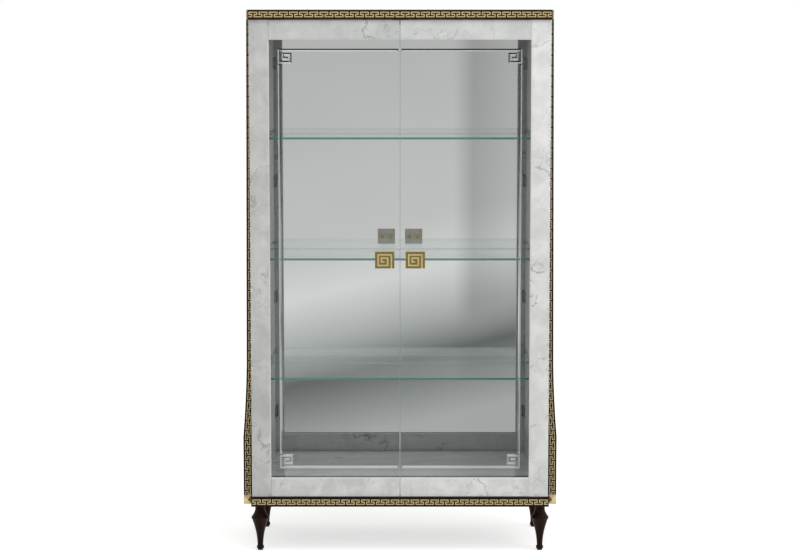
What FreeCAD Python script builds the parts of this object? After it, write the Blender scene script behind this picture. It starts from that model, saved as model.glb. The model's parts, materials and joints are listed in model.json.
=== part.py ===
import FreeCAD, Part
import math
import os

# Two-door glass display cabinet on turned legs, in millimetres.
# +Z is up, the front faces -Y and +X is on the viewer's right.
# The origin is on the floor, under the middle of the whole object.
# A dark lacquered carcass with flared sides carries two doors. Each door is a three-sided
# frame with a marble-effect face and a glass pane that is free along the meeting edge.

# Overall sizes
CABINET_HEIGHT = 1950.0
BODY_DEPTH = 471.0
TOP_WIDTH = 1090.0
LEG_HEIGHT = 169.0
BOARD_THICKNESS = 34.0

# Flared sides: how far each side stands out past the top, and where the curve lies
WAIST_FLARE = 7.0
FOOT_FLARE = 22.0
FLARE_STRAIGHT = 215.0
FLARE_CURVE = 325.0
SIDE_EDGE_WIDTH = 32.0
SKIN_THICKNESS = 6.0
INNER_SIDE_THICKNESS = 16.0
POST_DEPTH = 30.0
LINER_THICKNESS = 3.0

# Front bands of the top and bottom boards
BAND_SIDE_REVEAL = 7.5
BAND_CORNER_RADIUS = 4.0
STUD_WIDTH = 33.0
STUD_DEPTH = 33.0
STUD_POINT = 8.0
STUD_RIM = 1.5

# Back
BACK_THICKNESS = 6.0
BACK_MARGIN = 4.0
MIRROR_THICKNESS = 4.0
MIRROR_GAP = 1.0
BACK_SCREWS_ACROSS = 4
BACK_SCREWS_UP = 7

# Doors
DOOR_SIDE_REVEAL = 11.0
DOOR_REVEAL = 1.5
DOOR_SETBACK = 8.0
DOOR_THICKNESS = 36.0
DOOR_GAP = 4.0
MEETING_GAP = 3.0
STILE_WIDTH = 70.0
RAIL_WIDTH = 70.0
FACE_THICKNESS = 4.0
LINING_THICKNESS = 3.0
FACE_BEVEL = 6.5
FACE_BEVEL_DEPTH = 2.4
FACE_ARRIS = 1.2
JOINT_GAP = 0.4

# Glass panes
GLASS_THICKNESS = 6.0
GLASS_SETBACK = 15.0
GLASS_REBATE = 12.0
GLASS_EDGE_GAP = 1.0
ENGRAVE_INSET = 36.0
ENGRAVE_WIDTH = 9.5
ENGRAVE_DEPTH = 2.0
ENGRAVE_END = 9.0
KEY_STEP = 14.2
KEY_GAP = 11.0
# Corner key of the engraving, in steps from its outer corner
KEY_SHARES = ((0, 0), (0, 3), (2.8, 3), (2.8, 1), (1, 1), (1, 2), (1.9, 2))

# Gilt frets: a ribbon that winds round upright and hanging T shapes
FRET_PROUD = 0.6
FRET_RIBBON = 3.7
FRET_HEIGHT = 19.5
FRET_STEM = 4.8
FRET_END = 0.5
FRET_COUNT = 30
SIDE_FRET_RIBBON = 3.1
SIDE_FRET_WIDTH = 19.0
SIDE_FRET_COUNT = 47

# Handles: a square plate on two studs, with a square spiral groove
HANDLE_WIDTH = 69.0
HANDLE_TALL = 60.0
HANDLE_THICKNESS = 8.0
HANDLE_STANDOFF = 21.0
HANDLE_MEETING_INSET = 18.5
HANDLE_RISE = 5.5
HANDLE_GROOVE = 4.9
HANDLE_GROOVE_DEPTH = 2.5
HANDLE_RIM = 5.5
HANDLE_HOLLOW = 3.0
HANDLE_BOSS_WIDTH = 48.0
HANDLE_BOSS_TALL = 20.0
HANDLE_STUD_SPREAD = 34.0
HANDLE_STUD_RADIUS = 5.0
HANDLE_ROD_RADIUS = 3.0
HANDLE_CAP_RADIUS = 7.5
HANDLE_CAP_THICKNESS = 4.0
HANDLE_HOLE_GAP = 0.4
# Groove of the handle, as shares of its width from the left and of its height from the top
HANDLE_SPIRAL_SHARES = (
    (0.845, 1), (0.845, 0.188), (0.165, 0.188), (0.165, 0.82), (0.655, 0.82),
    (0.655, 0.38), (0.335, 0.38), (0.335, 0.605), (0.5, 0.605),
)

# Hinges: a cranked arm on the side, a cup in the door and a pin between them
HINGE_COUNT = 4
HINGE_END = 163.0
HINGE_EDGE = 6.5
HINGE_INSET = 7.5
PIN_RADIUS = 2.0
PIN_LENGTH = 41.0
PIN_SEAT_GAP = 0.02
PIN_RUN_GAP = 0.06
KNUCKLE_RADIUS = 3.5
KNUCKLE_TALL = 15.0
KNUCKLE_GAP = 0.5
CUP_TALL = 44.0
CUP_PLATE = 2.0
POCKET_DEPTH = 16.0
POCKET_GAP = 2.0
POCKET_WALL_GAP = 0.6
ARM_THICKNESS = 3.0
ARM_PLATE_TALL = 45.0
ARM_PLATE_LONG = 50.0
ARM_PLATE_SETBACK = 5.0
ARM_POCKET_GAP = 7.0

# Shelves and their pins
SHELF_COUNT = 3
SHELF_THICKNESS = 8.0
SHELF_PITCH = 435.0
TOP_COMPARTMENT = 418.0
SHELF_SETBACK = 29.0
SHELF_SIDE_GAP = 1.5
SHELF_BACK_GAP = 2.0
SHELF_PIN_INSET = 60.0
SHELF_PIN_RADIUS = 4.0
SHELF_PIN_FLAT = 1.0
SHELF_PIN_REACH = 13.0
SHELF_STEM_RADIUS = 2.5
SHELF_STEM_LENGTH = 10.0
SHELF_STEM_GAP = 0.1

# Legs
LEG_SIDE_INSET = 37.0
LEG_FRONT_INSET = 48.0
LEG_BACK_INSET = 48.0
LEG_FLANGE_RADIUS = 22.0
LEG_FLANGE_TALL = 6.0
LEG_NECK_RADIUS = 18.0
LEG_NECK_TALL = 12.0
LEG_COVE_TALL = 26.0
LEG_COLLAR_RADIUS = 30.0
LEG_COLLAR_TALL = 9.0
LEG_WAIST_RADIUS = 15.6
LEG_ANKLE_RADIUS = 10.2
LEG_BEAD_RADIUS = 13.4
LEG_BEAD_TALL = 14.0
LEG_SOLE_RADIUS = 10.5
GLIDE_RADIUS = 9.5
GLIDE_TALL = 4.0
LEG_BOLT_RADIUS = 4.0
LEG_BOLT_GAP = 0.1
LEG_BOLT_IN_BOARD = 26.0
LEG_BOLT_IN_LEG = 40.0

# Door catch under the top board
CATCH_WIDTH = 56.0
CATCH_DEPTH = 16.0
CATCH_TALL = 14.0
CATCH_GAP = 0.4

# Wood screws
SCREW_HEAD_RADIUS = 3.6
SCREW_HEAD_TALL = 2.0
SCREW_RADIUS = 1.7
SCREW_LENGTH = 14.0
SCREW_GAP = 0.05
SCREW_EDGE = 10.0

OVERRUN = 1.0

# Places worked out from the sizes above
HANDLE_REACH = HANDLE_STANDOFF + HANDLE_THICKNESS - GLASS_SETBACK - DOOR_SETBACK
Y_BAND = (HANDLE_REACH - BODY_DEPTH) / 2
Y_BACK = Y_BAND + BODY_DEPTH
Y_DOOR = Y_BAND + DOOR_SETBACK
Y_FACE_BACK = Y_DOOR + FACE_THICKNESS
Y_DOOR_BACK = Y_DOOR + DOOR_THICKNESS
Y_LINING = Y_DOOR_BACK - LINING_THICKNESS
Y_GLASS = Y_DOOR + GLASS_SETBACK
Y_GLASS_BACK = Y_GLASS + GLASS_THICKNESS
Y_POST = Y_DOOR_BACK + DOOR_GAP
Y_CARCASS_BACK = Y_BACK - BACK_THICKNESS
Y_MIRROR = Y_CARCASS_BACK - MIRROR_THICKNESS

Z_BOARD = LEG_HEIGHT
Z_BOTTOM = Z_BOARD + BOARD_THICKNESS
Z_FLOOR = Z_BOTTOM + LINER_THICKNESS
Z_CEILING = CABINET_HEIGHT - BOARD_THICKNESS
Z_DOOR_LOW = Z_BOTTOM + DOOR_REVEAL
Z_DOOR_HIGH = Z_CEILING - DOOR_REVEAL
Z_OPENING_LOW = Z_DOOR_LOW + RAIL_WIDTH
Z_OPENING_HIGH = Z_DOOR_HIGH - RAIL_WIDTH
Z_HANDLE = (Z_DOOR_LOW + Z_DOOR_HIGH) / 2 + HANDLE_RISE
Z_FLARE_FOOT = Z_BOTTOM + FLARE_STRAIGHT
Z_WAIST = Z_FLARE_FOOT + FLARE_CURVE

X_TOP = TOP_WIDTH / 2
X_WAIST = X_TOP + WAIST_FLARE
X_FOOT = X_TOP + FOOT_FLARE
X_BAND = X_TOP - BAND_SIDE_REVEAL
X_DOOR = X_TOP - DOOR_SIDE_REVEAL
X_MEETING = MEETING_GAP / 2
X_STILE = X_DOOR - STILE_WIDTH
X_SIDE_OUT = X_TOP - SIDE_EDGE_WIDTH
X_INNER = X_SIDE_OUT - INNER_SIDE_THICKNESS
X_AXIS = X_DOOR - HINGE_EDGE
Y_AXIS = Y_DOOR_BACK - HINGE_INSET
X_HANDLE = X_MEETING + HANDLE_MEETING_INSET + HANDLE_WIDTH / 2
X_LEG = X_TOP - LEG_SIDE_INSET
Y_LEG_FRONT = Y_BAND + LEG_FRONT_INSET
Y_LEG_BACK = Y_BACK - LEG_BACK_INSET

HINGE_PITCH = (Z_DOOR_HIGH - Z_DOOR_LOW - 2 * HINGE_END) / (HINGE_COUNT - 1)
HINGE_LEVELS = [Z_DOOR_LOW + HINGE_END + i * HINGE_PITCH for i in range(HINGE_COUNT)]
SHELF_LEVELS = [
    Z_CEILING - TOP_COMPARTMENT - SHELF_THICKNESS - i * SHELF_PITCH for i in range(SHELF_COUNT)
]
Y_SHELF = Y_POST + SHELF_SETBACK
Y_SHELF_BACK = Y_MIRROR - SHELF_BACK_GAP

X_DIR = FreeCAD.Vector(1, 0, 0)
Y_DIR = FreeCAD.Vector(0, 1, 0)
Z_DIR = FreeCAD.Vector(0, 0, 1)
ORIGIN = FreeCAD.Vector(0, 0, 0)


def point(x, y, z):
    return FreeCAD.Vector(x, y, z)


def block(x0, x1, y0, y1, z0, z1):
    """A box between two corners."""
    return Part.makeBox(x1 - x0, y1 - y0, z1 - z0, point(x0, y0, z0))


def rod(radius, start, end):
    """A cylinder from one point to another."""
    along = end - start
    return Part.makeCylinder(radius, along.Length, start, along)


def on_side(shape, side):
    """A shape drawn on the right, or its mirror image on the left."""
    return shape.copy() if side == "right" else shape.mirror(ORIGIN, X_DIR)


def prism(points, direction):
    """A flat outline pushed along a direction."""
    outline = Part.makePolygon(list(points) + [points[0]])
    return Part.Face(outline).extrude(direction)


def closed_solid(outlines):
    """A solid from its flat faces' corner points."""
    solid = Part.makeSolid(Part.makeShell([Part.Face(Part.makePolygon(c + [c[0]])) for c in outlines]))
    if solid.Volume < 0:
        solid.reverse()
    return solid


def drilled(shape, holes):
    return shape.cut(Part.makeCompound(holes)) if holes else shape


# Wood screws

def screw(seat, inward):
    """A flat-headed screw: its head starts at the seat point and its shank points inward."""
    neck = seat + inward * SCREW_HEAD_TALL
    head = rod(SCREW_HEAD_RADIUS, seat, neck)
    shank = rod(SCREW_RADIUS, neck, neck + inward * SCREW_LENGTH)
    return head.fuse(shank).removeSplitter()


def screw_hole(seat, inward):
    """The room that one screw takes, with its clearance."""
    head = rod(SCREW_HEAD_RADIUS + SCREW_GAP, seat - inward * OVERRUN, seat + inward * SCREW_HEAD_TALL)
    end = seat + inward * (SCREW_HEAD_TALL + SCREW_LENGTH + SCREW_GAP)
    return head.fuse(rod(SCREW_RADIUS + SCREW_GAP, seat, end))


# Flared side profile

def flare_arc():
    """Start, middle and end of the curve between waist and foot, tangent to the line above it."""
    start = point(X_WAIST, 0, Z_WAIST)
    end = point(X_FOOT, 0, Z_FLARE_FOOT)
    line = start - point(X_TOP, 0, Z_CEILING)
    chord = end - start
    bulge = line - chord * (line.dot(chord) / chord.dot(chord))
    sagitta = chord.Length / 2 * math.tan(line.getAngle(chord) / 2)
    return start, (start + end) / 2 + bulge.normalize() * sagitta, end


def outer_half(z):
    """Half of the outside width at a height."""
    if z >= Z_WAIST:
        return X_TOP + WAIST_FLARE * (Z_CEILING - z) / (Z_CEILING - Z_WAIST)
    if z <= Z_FLARE_FOOT:
        return X_FOOT
    circle = Part.Arc(*flare_arc()).toShape().Curve
    return circle.Center.x - math.sqrt(circle.Radius ** 2 - (z - circle.Center.z) ** 2)


def side_slice(outer_shift, inner_edge, y0, y1):
    """A slab of a side, from its outer profile shifted inwards to an inner edge."""
    shift = point(-outer_shift, 0, 0)
    start, middle, end = [p + shift for p in flare_arc()]
    top = point(X_TOP, 0, Z_CEILING) + shift
    foot = point(X_FOOT, 0, Z_BOTTOM) + shift
    outer = [
        Part.LineSegment(top, start).toShape(),
        Part.Arc(start, middle, end).toShape(),
        Part.LineSegment(end, foot).toShape(),
    ]
    inner = inner_edge(foot, top)
    outline = Part.Wire(outer + inner)
    face = Part.Face(outline)
    face.translate(point(0, y0, 0))
    return face.extrude(point(0, y1 - y0, 0))


def straight_edge(foot, top):
    """The straight inner edge of a post, against the inner side panel."""
    low = point(X_SIDE_OUT, 0, Z_BOTTOM)
    high = point(X_SIDE_OUT, 0, Z_CEILING)
    corners = [foot, low, high, top]
    return [Part.LineSegment(a, b).toShape() for a, b in zip(corners, corners[1:])]


def followed_edge(foot, top):
    """The inner face of the skin, which follows its outer face."""
    shift = point(-SKIN_THICKNESS, 0, 0)
    start, middle, end = [p + shift for p in flare_arc()]
    low, high = foot + shift, top + shift
    return [
        Part.LineSegment(foot, low).toShape(),
        Part.LineSegment(low, end).toShape(),
        Part.Arc(end, middle, start).toShape(),
        Part.LineSegment(start, high).toShape(),
        Part.LineSegment(high, top).toShape(),
    ]


def side_skin():
    return side_slice(0, followed_edge, Y_POST, Y_CARCASS_BACK)


def front_post():
    return side_slice(SKIN_THICKNESS, straight_edge, Y_POST, Y_POST + POST_DEPTH)


def rear_post():
    post = side_slice(SKIN_THICKNESS, straight_edge, Y_CARCASS_BACK - POST_DEPTH, Y_CARCASS_BACK)
    return drilled(post, back_screw_holes())


def inner_side():
    side = block(X_INNER, X_SIDE_OUT, Y_POST, Y_CARCASS_BACK, Z_BOTTOM, Z_CEILING)
    stems = [
        rod(SHELF_STEM_RADIUS + SHELF_STEM_GAP, point(X_INNER - OVERRUN, y, z),
            point(X_INNER + SHELF_STEM_LENGTH + SHELF_STEM_GAP, y, z))
        for y, z in shelf_pin_places()
    ]
    return drilled(side, stems + [screw_hole(*s) for s in arm_screw_seats()])


# Top and bottom boards

def carcass_board(half_width, z0, z1):
    """A board with a front band between the doors' edges and a notch for each corner stud."""
    nose = block(-X_BAND, X_BAND, Y_BAND, Y_POST, z0, z1)
    corners = [e for e in nose.Edges if is_upright(e) and e.BoundBox.YMin < Y_BAND + OVERRUN]
    nose = nose.makeFillet(min(BAND_CORNER_RADIUS, (Y_POST - Y_BAND) / 2), corners)
    board = nose.fuse(block(-half_width, half_width, Y_POST, Y_CARCASS_BACK, z0, z1))
    inner = half_width - STUD_WIDTH
    notch = block(inner, half_width + OVERRUN, Y_POST, Y_POST + STUD_DEPTH, z0 - OVERRUN, z1 + OVERRUN)
    board = board.cut(notch).cut(on_side(notch, "left")).removeSplitter()
    return drilled(board, back_screw_holes())


def is_upright(edge):
    return edge.BoundBox.XLength < OVERRUN and edge.BoundBox.YLength < OVERRUN


def top_board():
    return carcass_board(X_TOP, Z_CEILING, CABINET_HEIGHT)


def bottom_board():
    holes = [
        rod(LEG_BOLT_RADIUS + LEG_BOLT_GAP, point(x, y, Z_BOARD - OVERRUN),
            point(x, y, Z_BOARD + LEG_BOLT_IN_BOARD + LEG_BOLT_GAP))
        for x, y in leg_places().values()
    ]
    return drilled(carcass_board(X_FOOT, Z_BOARD, Z_BOTTOM), holes)


def floor_liner():
    return block(-X_INNER, X_INNER, Y_POST, Y_MIRROR, Z_BOTTOM, Z_FLOOR)


def corner_studs():
    """Gilt corner blocks. The lower ones are cut to a four-sided point in front."""
    studs = []
    for half_width, z0, z1, pointed in (
        (X_TOP, Z_CEILING, CABINET_HEIGHT, False),
        (X_FOOT, Z_BOARD, Z_BOTTOM, True),
    ):
        inner = half_width - STUD_WIDTH
        stud = block(inner, half_width, Y_POST, Y_POST + STUD_DEPTH, z0, z1)
        if pointed:
            stud = stud.fuse(stud_point(max(inner, X_BAND) + STUD_RIM, half_width - STUD_RIM, z0, z1))
        studs += [on_side(stud, "right"), on_side(stud, "left")]
    return Part.makeCompound(studs)


def stud_point(x0, x1, z0, z1):
    """A low pyramid on the front of a corner block."""
    low, high = z0 + STUD_RIM, z1 - STUD_RIM
    base = [point(x0, Y_POST, low), point(x1, Y_POST, low), point(x1, Y_POST, high), point(x0, Y_POST, high)]
    tip = point((x0 + x1) / 2, Y_POST - STUD_POINT, (z0 + z1) / 2)
    return closed_solid([base] + [[a, b, tip] for a, b in zip(base, base[1:] + base[:1])])


# Back panel and mirror

def back_screw_seats():
    """Screw places round the back panel's edge."""
    half = X_TOP - BACK_MARGIN - SCREW_EDGE
    low, high = Z_BOARD + BACK_MARGIN + SCREW_EDGE, CABINET_HEIGHT - BACK_MARGIN - SCREW_EDGE
    across = [-half + 2 * half * i / (BACK_SCREWS_ACROSS - 1) for i in range(BACK_SCREWS_ACROSS)]
    up = [low + (high - low) * i / (BACK_SCREWS_UP - 1) for i in range(1, BACK_SCREWS_UP - 1)]
    places = [(x, z) for x in across for z in (low, high)] + [(x, z) for x in (-half, half) for z in up]
    return [(point(x, Y_BACK, z), -Y_DIR) for x, z in places]


def back_screw_holes():
    return [screw_hole(*seat) for seat in back_screw_seats()]


def back_panel():
    half = X_TOP - BACK_MARGIN
    low, high = Z_BOARD + BACK_MARGIN, CABINET_HEIGHT - BACK_MARGIN
    return drilled(block(-half, half, Y_CARCASS_BACK, Y_BACK, low, high), back_screw_holes())


def back_screws():
    return Part.makeCompound([screw(*seat) for seat in back_screw_seats()])


def back_mirror():
    half = X_INNER - MIRROR_GAP
    return block(-half, half, Y_MIRROR, Y_CARCASS_BACK, Z_BOTTOM, Z_CEILING - MIRROR_GAP)


# Gilt frets

def fret_path(length, height, ribbon, motifs):
    """Centre line of the winding ribbon: along the foot, up a stem, back, up, along the head and down."""
    stem = (FRET_STEM + ribbon) / 2
    pitch = (length + FRET_STEM) / motifs
    low, middle, high = ribbon / 2, height / 2, height - ribbon / 2
    path = [(0, low)]
    for i in range(motifs):
        hanging = i * pitch + ribbon / 2 - stem
        upright = hanging + pitch / 2
        path += [
            (upright - stem, low), (upright - stem, middle), (hanging + stem, middle), (hanging + stem, high),
            (hanging + pitch - stem, high), (hanging + pitch - stem, middle),
            (upright + stem, middle), (upright + stem, low),
        ]
    return path + [(length, low)]


def ribbon_outline(path, ribbon):
    """Both edges of a square-cornered ribbon round its centre line."""
    half = ribbon / 2
    steps = [heading(a, b) for a, b in zip(path, path[1:])]
    before = [steps[0]] + steps
    after = steps + [steps[-1]]
    left, right = [], []
    for i, (u, v) in enumerate(path):
        (a, b), (c, d) = before[i], after[i]
        ends = i in (0, len(path) - 1)
        du, dv = (-b, a) if ends else (-b - d, a + c)
        left.append((u + half * du, v + half * dv))
        right.append((u - half * du, v - half * dv))
    return left + right[::-1]


def heading(a, b):
    """The unit step between two points on a square path."""
    length = abs(b[0] - a[0]) + abs(b[1] - a[1])
    return (b[0] - a[0]) / length, (b[1] - a[1]) / length


def band_fret(z0, z1):
    length = 2 * (X_BAND - BAND_CORNER_RADIUS - FRET_END)
    outline = ribbon_outline(fret_path(length, FRET_HEIGHT, FRET_RIBBON, FRET_COUNT), FRET_RIBBON)
    low = (z0 + z1 - FRET_HEIGHT) / 2
    corners = [point(u - length / 2, Y_BAND - FRET_PROUD, low + v) for u, v in outline]
    return prism(corners, Y_DIR * FRET_PROUD)


def side_fret(side):
    """The fret up a front post, which follows the flared side just inside the skin's edge."""
    length = Z_CEILING - Z_BOTTOM - 2 * FRET_END
    path = fret_path(length, SIDE_FRET_WIDTH, SIDE_FRET_RIBBON, SIDE_FRET_COUNT)
    corners = []
    for u, v in ribbon_outline(path, SIDE_FRET_RIBBON):
        z = Z_BOTTOM + FRET_END + u
        corners.append(point(outer_half(z) - SKIN_THICKNESS - v, Y_POST - FRET_PROUD, z))
    return on_side(prism(corners, Y_DIR * FRET_PROUD), side)


# Door frames

def stile_core():
    core = block(X_STILE, X_DOOR, Y_FACE_BACK, Y_LINING, Z_DOOR_LOW, Z_DOOR_HIGH)
    rebate = block(
        X_STILE - OVERRUN, X_STILE + GLASS_REBATE, Y_GLASS, Y_DOOR_BACK,
        Z_OPENING_LOW - GLASS_REBATE, Z_OPENING_HIGH + GLASS_REBATE,
    )
    pockets = [hinge_pocket(z) for z in HINGE_LEVELS]
    holes = [screw_hole(*seat) for seat in cup_screw_seats()]
    return drilled(core, [rebate] + pockets + holes)


def rail_core(z0, z1, opening):
    """A rail between the stile and the meeting edge, with its rebate along the opening."""
    core = block(X_MEETING, X_STILE, Y_FACE_BACK, Y_LINING, z0, z1)
    low, high = opening - GLASS_REBATE, opening + GLASS_REBATE
    return core.cut(block(X_MEETING - OVERRUN, X_STILE + OVERRUN, Y_GLASS, Y_DOOR_BACK, low, high))


def stile_face():
    """The marble-effect face of a stile, bevelled along its inner edge."""
    front, back = Y_DOOR, Y_FACE_BACK
    outline = [
        point(X_STILE, back, Z_DOOR_LOW), point(X_STILE, front + FACE_BEVEL_DEPTH, Z_DOOR_LOW),
        point(X_STILE + FACE_BEVEL, front, Z_DOOR_LOW), point(X_DOOR - FACE_ARRIS, front, Z_DOOR_LOW),
        point(X_DOOR, front + FACE_ARRIS, Z_DOOR_LOW), point(X_DOOR, back, Z_DOOR_LOW),
    ]
    return prism(outline, Z_DIR * (Z_DOOR_HIGH - Z_DOOR_LOW))


def rail_face(edge, opening):
    """The face of a rail, bevelled along the opening."""
    front, back = Y_DOOR, Y_FACE_BACK
    inwards = math.copysign(1, edge - opening)
    x0, x1 = X_MEETING, X_STILE - JOINT_GAP
    outline = [
        point(x0, back, opening), point(x0, front + FACE_BEVEL_DEPTH, opening),
        point(x0, front, opening + inwards * FACE_BEVEL), point(x0, front, edge - inwards * FACE_ARRIS),
        point(x0, front + FACE_ARRIS, edge), point(x0, back, edge),
    ]
    return prism(outline, X_DIR * (x1 - x0))


def back_lining():
    """Stone-effect strips behind the cores, each with a lip that holds the pane in its rebate."""
    grip = GLASS_REBATE - GLASS_EDGE_GAP
    low, high = Z_OPENING_LOW - grip, Z_OPENING_HIGH + grip

    def strip(x0, x1, z0, z1):
        return block(x0, x1, Y_LINING, Y_DOOR_BACK, z0, z1)

    def lip(x0, x1, z0, z1):
        return block(x0, x1, Y_GLASS_BACK, Y_LINING, z0, z1)

    upright = strip(X_STILE, X_DOOR, Z_DOOR_LOW, Z_DOOR_HIGH)
    upright = upright.fuse(lip(X_STILE, X_STILE + grip, low, high)).removeSplitter()
    upright = drilled(upright, [hinge_pocket(z) for z in HINGE_LEVELS])
    foot = strip(X_MEETING, X_STILE, Z_DOOR_LOW, Z_OPENING_LOW)
    foot = foot.fuse(lip(X_MEETING, X_STILE, low, Z_OPENING_LOW)).removeSplitter()
    head = strip(X_MEETING, X_STILE, Z_OPENING_HIGH, Z_DOOR_HIGH)
    head = head.fuse(lip(X_MEETING, X_STILE, Z_OPENING_HIGH, high)).removeSplitter()
    return Part.makeCompound([upright, foot, head])


# Glass panes and their engraving

def groove(a, b, before, after):
    """A V-shaped cutter along one run, mitred into the runs before and after it."""
    along = (b - a).normalize()
    top = (ENGRAVE_WIDTH / 2) * (1 + OVERRUN / ENGRAVE_DEPTH)
    across = Y_DIR.cross(along)
    rise = Y_DIR * -OVERRUN
    dip = Y_DIR * ENGRAVE_DEPTH

    def section(vertex, neighbour, outwards):
        if neighbour is None:
            lip = vertex + along * outwards * top
            return [lip + across * top + rise, lip - across * top + rise, vertex + dip]
        mitre = (across + Y_DIR.cross(neighbour)) * top
        return [vertex + mitre + rise, vertex - mitre + rise, vertex + dip]

    first = section(a, before, -1)
    last = section(b, after, 1)
    faces = [first, last[::-1]]
    faces += [[first[i], first[j], last[j], last[i]] for i, j in ((1, 0), (2, 1), (0, 2))]
    return closed_solid(faces)


def engraved_runs():
    """The engraved line of the right pane: a key at each corner, long lines between them."""
    x_line = X_STILE - ENGRAVE_INSET
    x_end = X_MEETING + ENGRAVE_END
    z_high, z_low = Z_OPENING_HIGH - ENGRAVE_INSET, Z_OPENING_LOW + ENGRAVE_INSET
    deepest = max(down for _, down in KEY_SHARES) * KEY_STEP + KEY_GAP
    runs = [[point(x_line, Y_GLASS, z_high - deepest), point(x_line, Y_GLASS, z_low + deepest)]]
    for corner, down in ((z_high, -1), (z_low, 1)):
        key = [
            point(x_line - across * KEY_STEP, Y_GLASS, corner + down * fall * KEY_STEP)
            for across, fall in KEY_SHARES
        ]
        runs.append([point(x_end, Y_GLASS, corner)] + key)
    return runs


def glass_pane():
    edge = GLASS_REBATE - GLASS_EDGE_GAP
    pane = block(
        X_MEETING, X_STILE + edge, Y_GLASS, Y_GLASS_BACK, Z_OPENING_LOW - edge, Z_OPENING_HIGH + edge
    )
    holes = [
        rod(HANDLE_ROD_RADIUS + HANDLE_HOLE_GAP, point(x, Y_GLASS - OVERRUN, Z_HANDLE),
            point(x, Y_GLASS_BACK + OVERRUN, Z_HANDLE))
        for x in handle_stud_places(X_HANDLE)
    ]
    pane = drilled(pane, holes)
    for run in engraved_runs():
        steps = [None] + [(b - a).normalize() for a, b in zip(run, run[1:])] + [None]
        for i, (a, b) in enumerate(zip(run, run[1:])):
            pane = pane.cut(groove(a, b, steps[i], steps[i + 2]))
    return pane


# Handles

def handle_plate(x_middle):
    """A square plate with a spiral groove from its lower edge, hollow behind except for a boss."""
    left, top = x_middle - HANDLE_WIDTH / 2, Z_HANDLE + HANDLE_TALL / 2
    right, low = left + HANDLE_WIDTH, top - HANDLE_TALL
    y0 = Y_GLASS - HANDLE_STANDOFF - HANDLE_THICKNESS
    y1 = y0 + HANDLE_THICKNESS
    floor, over = y1 - HANDLE_HOLLOW, y1 + OVERRUN
    hollow = block(
        left + HANDLE_RIM, right - HANDLE_RIM, floor, over, low + HANDLE_RIM, top - HANDLE_RIM
    )
    boss = block(
        x_middle - HANDLE_BOSS_WIDTH / 2, x_middle + HANDLE_BOSS_WIDTH / 2, floor, over,
        Z_HANDLE - HANDLE_BOSS_TALL / 2, Z_HANDLE + HANDLE_BOSS_TALL / 2
    )
    plate = block(left, right, y0, y1, low, top).cut(hollow.cut(boss))
    path = [(left + across * HANDLE_WIDTH, top - down * HANDLE_TALL) for across, down in HANDLE_SPIRAL_SHARES]
    path[0] = (path[0][0], path[0][1] - OVERRUN)
    corners = [point(x, y0 - OVERRUN, z) for x, z in ribbon_outline(path, HANDLE_GROOVE)]
    return plate.cut(prism(corners, Y_DIR * (HANDLE_GROOVE_DEPTH + OVERRUN)))


def handle_stud_places(x_middle):
    return [x_middle - HANDLE_STUD_SPREAD / 2, x_middle + HANDLE_STUD_SPREAD / 2]


def handle_studs(x_middle):
    """Two studs that hold the plate off the glass, each with a rod through it and a cap behind."""
    studs = []
    for x in handle_stud_places(x_middle):
        front, back = point(x, Y_GLASS - HANDLE_STANDOFF, Z_HANDLE), point(x, Y_GLASS, Z_HANDLE)
        behind = point(x, Y_GLASS_BACK, Z_HANDLE)
        stud = rod(HANDLE_STUD_RADIUS, front, back).fuse(rod(HANDLE_ROD_RADIUS, back, behind))
        cap = rod(HANDLE_CAP_RADIUS, behind, behind + Y_DIR * HANDLE_CAP_THICKNESS)
        studs.append(stud.fuse(cap).removeSplitter())
    return Part.makeCompound(studs)


# Hinges

def hinge_pocket(z):
    """The recess in the back of a stile for one hinge cup."""
    x0 = X_INNER - ARM_THICKNESS - ARM_POCKET_GAP
    x1 = X_AXIS + KNUCKLE_RADIUS + POCKET_WALL_GAP
    half = CUP_TALL / 2 + POCKET_GAP
    return block(x0, x1, Y_DOOR_BACK - POCKET_DEPTH, Y_DOOR_BACK + OVERRUN, z - half, z + half)


def hinge_cup(z):
    """A plate on the pocket's floor with two knuckles round the pin."""
    floor = Y_DOOR_BACK - POCKET_DEPTH
    x0 = X_INNER - ARM_THICKNESS - ARM_POCKET_GAP + POCKET_GAP
    cup = block(x0, X_AXIS + KNUCKLE_RADIUS, floor, floor + CUP_PLATE, z - CUP_TALL / 2, z + CUP_TALL / 2)
    reach = PIN_LENGTH / 2
    gap = KNUCKLE_TALL / 2 + KNUCKLE_GAP
    for low, high in ((z - reach, z - gap), (z + gap, z + reach)):
        cheek = block(X_AXIS - KNUCKLE_RADIUS, X_AXIS + KNUCKLE_RADIUS, floor, Y_AXIS, low, high)
        barrel = rod(KNUCKLE_RADIUS, point(X_AXIS, Y_AXIS, low), point(X_AXIS, Y_AXIS, high))
        cup = cup.fuse(cheek.fuse(barrel))
    bore = pin_rod(z, PIN_RADIUS + PIN_SEAT_GAP, OVERRUN)
    holes = [screw_hole(*seat) for seat in cup_screw_seats_at(z)]
    return drilled(cup.removeSplitter(), [bore] + holes)


def pin_rod(z, radius, extra):
    reach = PIN_LENGTH / 2 + extra
    return rod(radius, point(X_AXIS, Y_AXIS, z - reach), point(X_AXIS, Y_AXIS, z + reach))


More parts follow.
